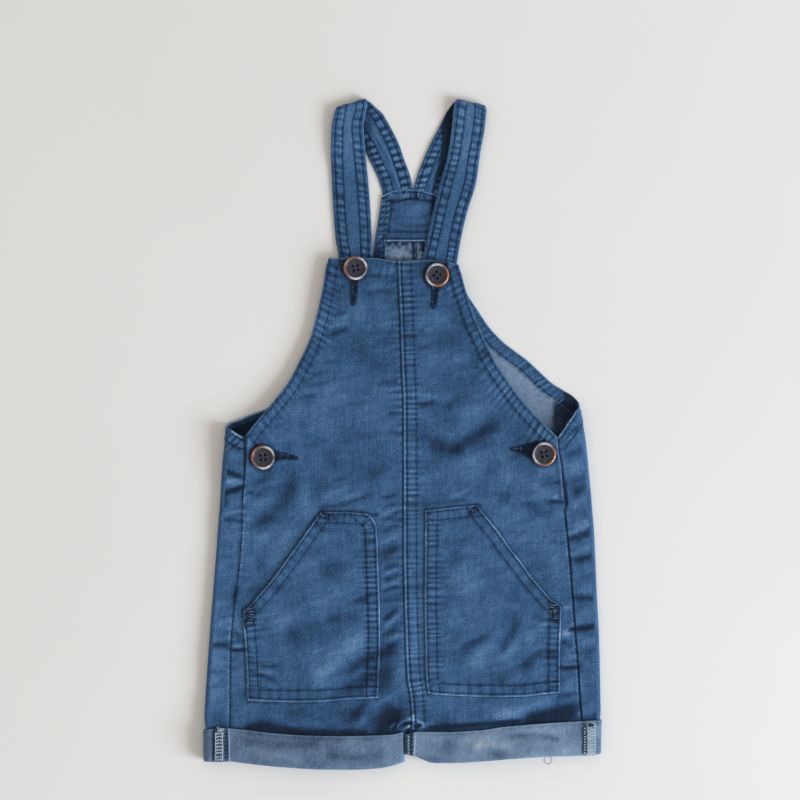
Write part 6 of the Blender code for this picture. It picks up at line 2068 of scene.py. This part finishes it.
def sew_front(piece, side):
    t = Threads("stitches_" + piece.name, NAVY)
    inside = (side * 50.0, 20.0)
    lines = piece.lines
    if side > 0:
        for off in (2.7, 9.5):
            t.row(piece, inset(lines["centre"], off, inside), seed=int(off) + 3)
    t.row(piece, inset(lines["arm"], 7.9, inside), seed=17)
    t.row(piece, inset(lines["arm"], 7.9, inside), seed=18, below=True)
    t.row(piece, inset(lines["arm"], 1.7, inside), seed=19)
    low = Path(lines["side"].at(np.arange(62.0, lines["side"].length - 8, 0.8),
                                np.full(len(np.arange(62.0, lines["side"].length - 8, 0.8)),
                                        1.0 * lines["side"].sided(inside))), rounded=False)
    t.row(piece, low, seed=20)
    t.build()
    # buttonholes: close stitches round the slit, thicker at its ends
    holes = Threads("buttonholes_" + piece.name, NAVY)
    knots = Threads("buttonhole_knots_" + piece.name, INK)
    specks = Threads("buttonhole_ends_" + piece.name, FADED)
    rng = np.random.default_rng(71 + side)
    for points, first, last, depth in SLOTS[side]:
        p = Path(points)
        start = 0.0 if first < 4 else 7.5  # hidden under the button
        for sign in (-1, 1):
            for s in np.arange(start, p.length, 0.5):
                open_ = 0.82 * (first + (last - first) * s / p.length) - 0.35
                c = p.at(np.array([s, s + rng.normal(0, 0.16)]),
                         np.array([sign * open_, sign * (open_ + 0.95 + abs(rng.normal(0, 0.32)))]))
                holes.line(piece, [c[0], c[1]], 0.25, lift=0.45)
        for _ in range(int(p.length * 2.2)):  # stray ends inside and along the slit
            s = rng.uniform(start, p.length)
            reach = 0.8 * (first + (last - first) * s / p.length) + 0.5
            o, a = rng.uniform(-reach, reach), rng.normal(0, 0.9)
            c = p.at(np.array([s, s + math.cos(a) * 1.1]), np.array([o, o + math.sin(a) * 1.1]))
            (knots if rng.uniform() < 0.72 else specks).line(piece, [c[0], c[1]], 0.2, lift=0.6)
        for off in np.arange(-0.8, 0.9, 0.34):
            side_on = 1.1 + abs(rng.normal(0, 0.3))
            c = p.at(np.array([p.length, p.length]), np.array([-side_on, side_on]))
            holes.line(piece, [c[0] + p.t[-1] * off, c[1] + p.t[-1] * off], 0.27, lift=0.8)
    for q in (holes, knots, specks):
        q.build()
    return t, holes, knots, specks


def sew_back(piece, side):
    t = Threads("stitches_" + piece.name, NAVY)
    lines, inside = piece.lines, piece.inside
    for below in (False, True):
        t.row(piece, inset(lines["outline"], 8.0, inside, (lines["centre"],), 1.0),
              seed=27 + below, below=below, pitch=3.1)
        for off in ((2.2,) if side < 0 else (4.4,)):
            t.row(piece, inset(lines["centre"], off, inside, (lines["outline"],), 2.0),
                  seed=37 + below, below=below, pitch=3.1)
    if side > 0:  # the end of the arm hem's rows, beside the slit
        for a_, b_, seed in (((118.0, -4.4), (121.8, -6.6), 12), ((118.6, -7.4), (121.4, -9.4), 13)):
            tack(t, piece, a_, b_, 2.2, seed, per=0.5)
    t.build()
    return t


def tack(t, piece, a, b, wide, seed, per=0.34):
    """A bar tack: close stitches across the line from a to b."""
    rng = np.random.default_rng(seed)
    a, b = np.array(a, float), np.array(b, float)
    run = b - a
    length = np.hypot(*run)
    run /= length
    across = np.array([-run[1], run[0]])
    for s in np.arange(0, length, per):
        c = a + run * s
        j = rng.normal(0, 0.55, 2)
        lean = run * rng.normal(0, 0.5)
        t.line(piece, [c - across * (wide / 2 + j[0]) - lean, c + across * (wide / 2 + j[1]) + lean],
               0.24, lift=0.9)


def sew_pocket(piece, side):
    t = Threads("stitches_" + piece.name, NAVY)
    lines = piece.lines
    middle = (side * 60.0, -140.0)
    widths = {"bottom": 8.1, "inner": 8.3, "top": 8.1, "slant": 7.9, "outer": 7.9}
    for i, (key, path) in enumerate(lines.items()):
        others = [q for k, q in lines.items() if k != key]
        for j, off in enumerate((1.7, widths[key])):
            line = inset(path, off, middle, others)
            if line is not None:
                t.row(piece, line, seed=90 + 7 * i + j, pitch=2.9, length=2.1)
    ends = Threads("tack_ends_" + piece.name, FADED)
    for a, b, wide, per, seed in TACKS[side]:
        tack(t, piece, a, b, wide, seed, per=per)
        tack(ends, piece, a, b, wide * 0.62, seed + 40, per=1.6 if wide < 5 else 2.0)
    t.build()
    ends.build()
    return t, ends


TACKS = {  # from, to, width, spacing, seed
    -1: [((-61.6, -61.6), (-53.0, -64.0), 4.2, 0.42, 1),
         ((-113.9, -130.2), (-114.6, -142.6), 8.2, 1.15, 2),
         ((-118.4, -134.0), (-117.4, -146.4), 1.9, 0.42, 5),
         ((-117.6, -134.6), (-110.4, -130.6), 1.5, 0.50, 7),
         ((-115.6, -137.0), (-113.4, -142.0), 3.0, 0.50, 9)],
    1: [((56.4, -56.6), (50.4, -60.6), 4.2, 0.42, 3),
        ((112.4, -127.4), (113.9, -140.6), 6.4, 1.05, 4),
        ((115.9, -129.6), (115.2, -142.6), 1.8, 0.42, 6),
        ((110.2, -126.0), (110.6, -135.6), 1.7, 0.50, 8),
        ((112.6, -131.0), (113.6, -139.0), 2.6, 0.50, 10)],
}


def sew_strap(piece, side):
    t = Threads("stitches_" + piece.name, NAVY)
    n = len(piece.width)
    s = np.linspace(0.6, piece.length - 0.6, n)
    for i, off in enumerate(STRAP_ROWS):
        for far in (False, True):
            across = (piece.width - off) if far else np.full(n, off)
            for below in (False, True):
                t.row(piece, np.stack([across, s], 1), seed=50 + i * 4 + far * 2 + below,
                      below=below, pitch=3.0, wander=0.08)
    t.build()
    return t


# ------------------------------------------------------------------ buttons
def lathe(profile, turns, name):
    bm = bmesh.new()
    rings = []
    for r, z in profile:
        if r < 1e-6:
            rings.append([bm.verts.new((0, 0, z))])
        else:
            rings.append([
                bm.verts.new((r * math.cos(2 * math.pi * i / turns),
                              r * math.sin(2 * math.pi * i / turns), z))
                for i in range(turns)
            ])
    for a, b in zip(rings, rings[1:]):
        for i in range(turns):
            j = (i + 1) % turns
            if len(a) == 1:
                bm.faces.new((a[0], b[j], b[i]))
            elif len(b) == 1:
                bm.faces.new((a[i], a[j], b[0]))
            else:
                bm.faces.new((a[i], a[j], b[j], b[i]))
    bmesh.ops.recalc_face_normals(bm, faces=bm.faces)
    mesh = bpy.data.meshes.new(name)
    bm.to_mesh(mesh)
    bm.free()
    return mesh


HOLE = 1.7  # a hole from the middle, each way


def button(name, x, y, gap, side, cloths):
    """Four holes in a flat dark middle, inside a raised glossy rim."""
    r, th = BUTTON_D / 2, BUTTON_T
    rim_profile = [
        (0.775 * r, 0.42 * th), (0.78 * r, 0.60 * th), (0.79 * r, 0.74 * th),
        (0.81 * r, 0.88 * th), (0.838 * r, 0.965 * th), (0.868 * r, 0.998 * th),
        (0.898 * r, 0.98 * th), (0.925 * r, 0.92 * th), (0.955 * r, 0.81 * th),
        (0.982 * r, 0.67 * th), (1.0 * r, 0.50 * th), (0.985 * r, 0.34 * th),
        (0.94 * r, 0.22 * th), (0.88 * r, 0.09 * th), (0.83 * r, 0.02 * th),
        (0.79 * r, 0.0), (0.775 * r, 0.12 * th), (0.775 * r, 0.42 * th),
    ]
    mid_profile = [
        (0, 0.50 * th), (0.10 * r, 0.50 * th), (0.25 * r, 0.51 * th), (0.42 * r, 0.535 * th),
        (0.56 * r, 0.565 * th), (0.62 * r, 0.585 * th), (0.64 * r, 0.570 * th),
        (0.66 * r, 0.600 * th), (0.74 * r, 0.64 * th), (0.795 * r, 0.70 * th),
        (0.798 * r, 0.30 * th), (0.78 * r, 0.04 * th), (0.3 * r, 0.02 * th), (0, 0.02 * th),
    ]
    middle = bpy.data.objects.new("tmp_middle", lathe(mid_profile, 72, name + "_middle"))
    bpy.context.scene.collection.objects.link(middle)
    cutters = []
    for i, (hx, hy) in enumerate(((-HOLE, -HOLE), (HOLE, -HOLE), (HOLE, HOLE), (-HOLE, HOLE))):
        cut = bpy.data.objects.new("tmp_cut", lathe(
            [(0, -1), (1.0, -1), (1.0, 0.46 * th), (1.15, 0.53 * th), (1.5, 1.0 * th),
             (0, 1.0 * th)], 20, "cut"))
        cut.location = (hx, hy, 0)
        bpy.context.scene.collection.objects.link(cut)
        mod = middle.modifiers.new("hole", "BOOLEAN")
        mod.operation, mod.object, mod.solver = "DIFFERENCE", cut, "EXACT"
        cutters.append(cut)
    bpy.context.view_layer.update()
    deps = bpy.context.evaluated_depsgraph_get()
    made = bpy.data.meshes.new_from_object(middle.evaluated_get(deps))
    for o in (*cutters, middle):
        bpy.data.objects.remove(o)
    # seat: on the cloth, tilted as it lies
    hits = [h for h in (c.over(x, y) for c in cloths) if h is not None]
    at = max(h[0].z for h in hits)
    ring = []
    for k in range(24):
        a = 2 * math.pi * k / 24
        for rr in (4.0, 6.5, 8.0):
            px, py = x + rr * math.cos(a), y + rr * math.sin(a)
            got = [h[0].z for h in (c.over(px, py) for c in cloths) if h is not None]
            if got:
                ring.append((px, py, max(got)))
    ring = np.array(ring)
    A = np.c_[ring[:, 0] - x, ring[:, 1] - y, np.ones(len(ring))]
    fit = np.linalg.lstsq(A, ring[:, 2], rcond=None)[0]
    tilt = BUTTON_TILT[name]
    n = Vector((-0.5 * fit[0] + tilt[0], -0.5 * fit[1] + tilt[1], 1)).normalized()
    rest = (ring[:, 2] - (ring[:, 0] - x) * (-n.x / n.z) - (ring[:, 1] - y) * (-n.y / n.z))
    z = float(np.quantile(rest, 0.9)) + 0.15
    q = Vector((0, 0, 1)).rotation_difference(n).to_matrix()
    spin = Matrix.Rotation(BUTTON_SPIN[name], 3, "Z")
    out = []
    rim = lathe(rim_profile, 96, name + "_rim")
    for mesh, mat, suffix in ((rim, None, ""), (made, BUTTON_MIDDLE, "_middle")):
        m = Matrix.Identity(4)
        m = Matrix.Translation(Vector((0, 0, 0))) @ (q @ spin).to_4x4()
        mesh.transform(Matrix.Scale(MM, 4) @ m)
        if suffix:  # flat shading keeps the holes' rims crisp
            mesh.shade_flat()
        else:
            mesh.shade_smooth()
        ob = bpy.data.objects.new("button_" + name + suffix + "_looks", mesh)
        ob.location = place((x, y, z)).tolist()
        mesh.materials.append(mat or button_rim(BUTTON_PAINTED_GLOW_TURN[name]))
        bpy.context.scene.collection.objects.link(ob)
        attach(ob, "root")
        out.append(ob)
    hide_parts("button_" + name)
    # thread through the holes, and a short shank under it
    t = Threads("thread_button_" + name, INK, "button")
    base = Vector((x, y, z))
    m = q @ spin
    for hx in (-HOLE, HOLE):
        for k in (-0.24, 0.24):
            a = base + m @ Vector((hx + k, -HOLE, 0.40 * th))
            b = base + m @ Vector((hx + k, HOLE, 0.40 * th))
            t.add(a, b, m @ Vector((0, 0, 1)), 0.30)
    for hx in (-HOLE, HOLE):
        for hy in (-HOLE, HOLE):
            t.add(base + m @ Vector((hx, hy, 0.40 * th)), base + m @ Vector((hx * 0.8, hy * 0.8, -0.9)),
                  m @ Vector((1, 0, 0)), 0.6)
    t.build()
    return out


BUTTON_TILT = {"strap_left": (0.02, 0.03), "strap_right": (0.03, 0.02),
               "side_left": (-0.03, 0.02), "side_right": (0.05, 0.0)}
BUTTON_SPIN = {"strap_left": 0.17, "strap_right": -0.66, "side_left": 1.65, "side_right": 1.78}
# the angle round each button where its painted copper glow sits
BUTTON_PAINTED_GLOW_TURN = {"strap_left": 2.7, "strap_right": -0.4, "side_left": 2.9, "side_right": -0.6}

# ------------------------------------------------------------------ assembly
fronts = {-1: front(-1, "front_left"), 1: front(1, "front_right")}
backs = {-1: back(-1, "back_left"), 1: back(1, "back_right")}
pockets = {-1: pocket(-1, "pocket_left"), 1: pocket(1, "pocket_right")}
cuffs = {-1: cuff(-1, "cuff_left"), 1: cuff(1, "cuff_right")}
straps = {
    -1: strap(-1, "strap_left", STRAP_LEFT_FRONT, STRAP_LEFT_CREASE, STRAP_LEFT_BACK, 501),
    1: strap(1, "strap_right", STRAP_RIGHT_FRONT, STRAP_RIGHT_CREASE, STRAP_RIGHT_BACK, 521),
}
tab = facing("back_facing")
plackets = {-1: placket(-1, "placket_left"), 1: placket(1, "placket_right")}

for side in (-1, 1):
    [t.name for t in sew_front(fronts[side], side)]
    sew_back(backs[side], side).name
    [t.name for t in sew_pocket(pockets[side], side)]
    sew_strap(straps[side], side).name

# facing: one row above its turned edge
t = Threads("stitches_back_facing", NAVY)
t.row(tab, [(-11.0, 145.0), (10.0, 145.0), (32.6, 145.0)], seed=61)
t.build()

# cuffs: the overlocked allowance of the outside seam, and dark stitch rows
pale = Threads("overlock_cuffs", PALE, "denim_reverse")
dark = Threads("stitches_cuffs", NAVY, "denim_reverse")
rng = np.random.default_rng(77)
for side, (xa, xb) in ((-1, (-140.0, -134.5)), (1, (137.4, 143.4))):
    y0, y1 = (-245.0, -223.2) if side < 0 else (-240.2, -216.4)
    # chains of slanting loops: one broad ladder on the left, two lanes on the right
    for lane, broad, step in (((0.04, 0.92, 2.45),) if side < 0
                              else ((0.02, 0.34, 1.7), (0.42, 0.54, 2.2))):
        x_lo, x_hi = xa + (xb - xa) * lane, xa + (xb - xa) * (lane + broad)
        for y in np.arange(y0, y1 - 1.2, step):
            y += rng.normal(0, 0.18)
            if rng.uniform() < 0.06:
                continue
            mid = (x_lo + x_hi) / 2
            for twin in (0.0, 0.42):
                j = rng.normal(0, 0.16, 3)
                pale.drape([cuffs[side]], [(x_lo + j[0], y + twin), (mid, y + 0.75 + j[1] + twin),
                                           (x_hi + j[2], y + twin + 0.3)], 0.20, 0.7)
    for xe in ((xa, xb, xa + 0.35, xb - 0.35) if side < 0 else (xa + (xb - xa) * 0.40, xb)):
        line = [(xe + rng.normal(0, 0.20), y) for y in np.arange(y0, y1, 1.1)]
        pale.drape([cuffs[side]], line, 0.20, 0.6)
    # the needle row beside them: a dark zigzag, pale between its turns
    za, zb = (-142.0, -141.0) if side < 0 else (134.2, 136.6)
    turns = 0.95 if side < 0 else 1.75
    zig = [(za if k % 2 else zb, y) for k, y in enumerate(np.arange(y0, y1 - 0.5, turns / 2))]
    zig = [(x + rng.normal(0, 0.12), y + rng.normal(0, 0.12)) for x, y in zig]
    dark.drape([cuffs[side]], zig, 0.27, 0.6)
    if side > 0:
        for xe in (134.1, 137.0):
            line = [(xe + rng.normal(0, 0.25), y) for y in np.arange(y0 + 0.5, y1 - 3, 1.3)]
            dark.drape([cuffs[side]], line, 0.30, 0.6)
        for y in np.arange(y0 + 0.8, y1 - 3.0, 2.0):
            y += rng.normal(0, 0.2)
            pale.drape([cuffs[side]], [(135.0, y), (136.1, y + 0.5)], 0.42, 1.0)
    # a knot where the rows meet at the hem's top
    kx, ky = (-139.2, -221.8) if side < 0 else (139.9, -218.2)
    for _ in range(10 if side < 0 else 26):
        a, b = rng.normal(0, 1.0, 2) * (1.0 if side < 0 else 1.6), rng.normal(0, 0.8, 2)
        dark.drape([cuffs[side]], [(kx + a[0], ky + b[0]), (kx + a[1], ky + b[1])], 0.27, 0.8)
    for xd in ((-132.6, -131.1) if side < 0 else (0.8, 2.6, 5.4, 6.8)):
        for y in np.arange(y0 + 1, y1 - 2.2, 2.9):
            dark.drape([cuffs[side]], [(xd + rng.normal(0, 0.08), y),
                                       (xd + rng.normal(0, 0.08), y + 2.1)], 0.27, 0.5)
# loose overlock ends over the left cuff, and a loop at the right cuff's edge
for x, y, dx, dy in ((-138.5, -221.6, 1.5, 1.5), (-136.8, -222.0, -2.2, 1.6),
                     (-135.4, -221.9, 2.0, 0.7), (-138.6, -222.6, 3.8, 0.9),
                     (-137.9, -223.4, 2.9, 2.2), (-134.2, -223.6, -3.4, 1.2),
                     (-136.2, -222.8, -1.6, 2.8), (-137.0, -221.4, 2.4, -1.6),
                     (-138.8, -221.4, 1.2, -1.9), (-134.9, -221.6, -1.0, -1.7)):
    pts = [(x + dx * f + 0.6 * math.sin(5 * f), y + dy * f) for f in np.linspace(0, 1, 6)]
    pale.drape([cuffs[-1], fronts[-1], backs[-1]], pts, 0.22, 1.4)
# a loose thread's loop at the right cuff's lower edge, and whitish stitch ends
loop = [(107.0, -243.0), (106.2, -246.5), (107.4, -248.6), (110.0, -248.9), (111.6, -247.0),
        (111.4, -244.6), (110.2, -243.0)]
fine = Path(loop)
loose = Threads("loose_thread_cuff", FADED, "denim_reverse")
ring = fine.at(np.linspace(0, fine.length, 40), np.zeros(40))
for a_, b_ in zip(ring, ring[1:]):
    za, zb = (0.3 if q[1] < -242.6 else 3.6 for q in (a_, b_))
    loose.add(Vector((a_[0], a_[1], za)), Vector((b_[0], b_[1], zb)), Vector((0, 0, 1)), 0.16)
for xl, tilt in ((4.2, 0.0), (7.8, 1.9)):  # two pale rows, the second leaning outward
    for y in np.arange(-240.5, -226.5, 2.4):
        xs_ = xl + tilt * (y + 240.5) / 16.0 + rng.normal(0, 0.1)
        pale.drape([cuffs[1]], [(xs_, y), (xs_ + 0.25, y + 1.7)], 0.26, 0.55)
for y in np.arange(-244.0, -222.0, 2.4):
    pale.drape([cuffs[-1]], [(-129.7 + rng.normal(0, 0.1), y), (-129.6, y + 1.3)], 0.20, 0.5)
pale.build()
dark.build()
loose.build()

BUTTON_MIDDLE = button_middle()
for name, x, y, gap, side in BUTTONS:
    button(name, x, y, gap, side, [fronts[side]])

# ------------------------------------------------------------------ cut sizes
SHEETS = {  # flat width, flat length and flat area in metres, and what it lies on
    "back_left": (0.1801, 0.4319, 0.05299, ["floor"]),
    "back_right": (0.1611, 0.4266, 0.04870, ["floor"]),
    "front_left": (0.1361, 0.3799, 0.04094, ["back_left"]),
    "front_right": (0.1378, 0.3735, 0.03889, ["back_right"]),
    "pocket_left": (0.1019, 0.1418, 0.01172, ["front_left"]),
    "pocket_right": (0.1015, 0.1429, 0.01167, ["front_right"]),
    "cuff_left": (0.3100, 0.0273, 0.00843, ["floor", "front_left"]),
    "cuff_right": (0.3054, 0.0262, 0.00797, ["floor", "front_right"]),
    "strap_left": (0.0294, 0.2214, 0.00572, ["floor", "back_left"]),
    "strap_right": (0.0258, 0.2252, 0.00555, ["floor", "back_right"]),
    "back_facing": (0.0460, 0.0310, 0.00131, ["back_left", "back_right"]),
    "placket_left": (0.0313, 0.0480, 0.00137, ["back_left"]),
    "placket_right": (0.0341, 0.0480, 0.00143, ["back_right"]),
}
for c in Cloth.made:
    w, l, area, under = SHEETS[c.name]

# ------------------------------------------------------------------ set
plane = bpy.data.meshes.new("floor")
plane.from_pydata([(-3, -3, 0), (3, -3, 0), (3, 3, 0), (-3, 3, 0)], [], [(0, 1, 2, 3)])
plane.materials.append(floor_material())
floor = bpy.data.objects.new("floor", plane)
bpy.context.scene.collection.objects.link(floor)


def lamp(name, at, aim, size, power, colour):
    data = bpy.data.lights.new(name, "AREA")
    data.shape, data.size, data.size_y = "RECTANGLE", size[0], size[1]
    data.energy, data.color = power, colour
    ob = bpy.data.objects.new(name, data)
    ob.location = at
    ob.rotation_euler = (Vector(aim) - Vector(at)).to_track_quat("-Z", "Y").to_euler()
    bpy.context.scene.collection.objects.link(ob)
    return ob


lamp("key", (3.10, -1.45, 1.55), (0.0, 0.0, 0), (2.3, 1.6), 168.0, (0.835, 0.912, 1.0))
world = bpy.data.worlds.new("studio")
world.use_nodes = True
back_node = world.node_tree.nodes["Background"]
back_node.inputs["Color"].default_value = (1.0, 0.932, 0.852, 1.0)
back_node.inputs["Strength"].default_value = 0.60
bpy.context.scene.world = world

camera = bpy.data.cameras.new("camera")
camera.lens, camera.sensor_width = 120.0, 36.0
camera.clip_end = 20.0
eye = bpy.data.objects.new("camera", camera)
eye.location = (-0.001976, 0.024797, 2.0)
bpy.context.scene.collection.objects.link(eye)
bpy.context.scene.camera = eye

view = bpy.context.scene.view_settings
view.view_transform = "Standard"
view.look = "None"

bpy.context.view_layer.update()
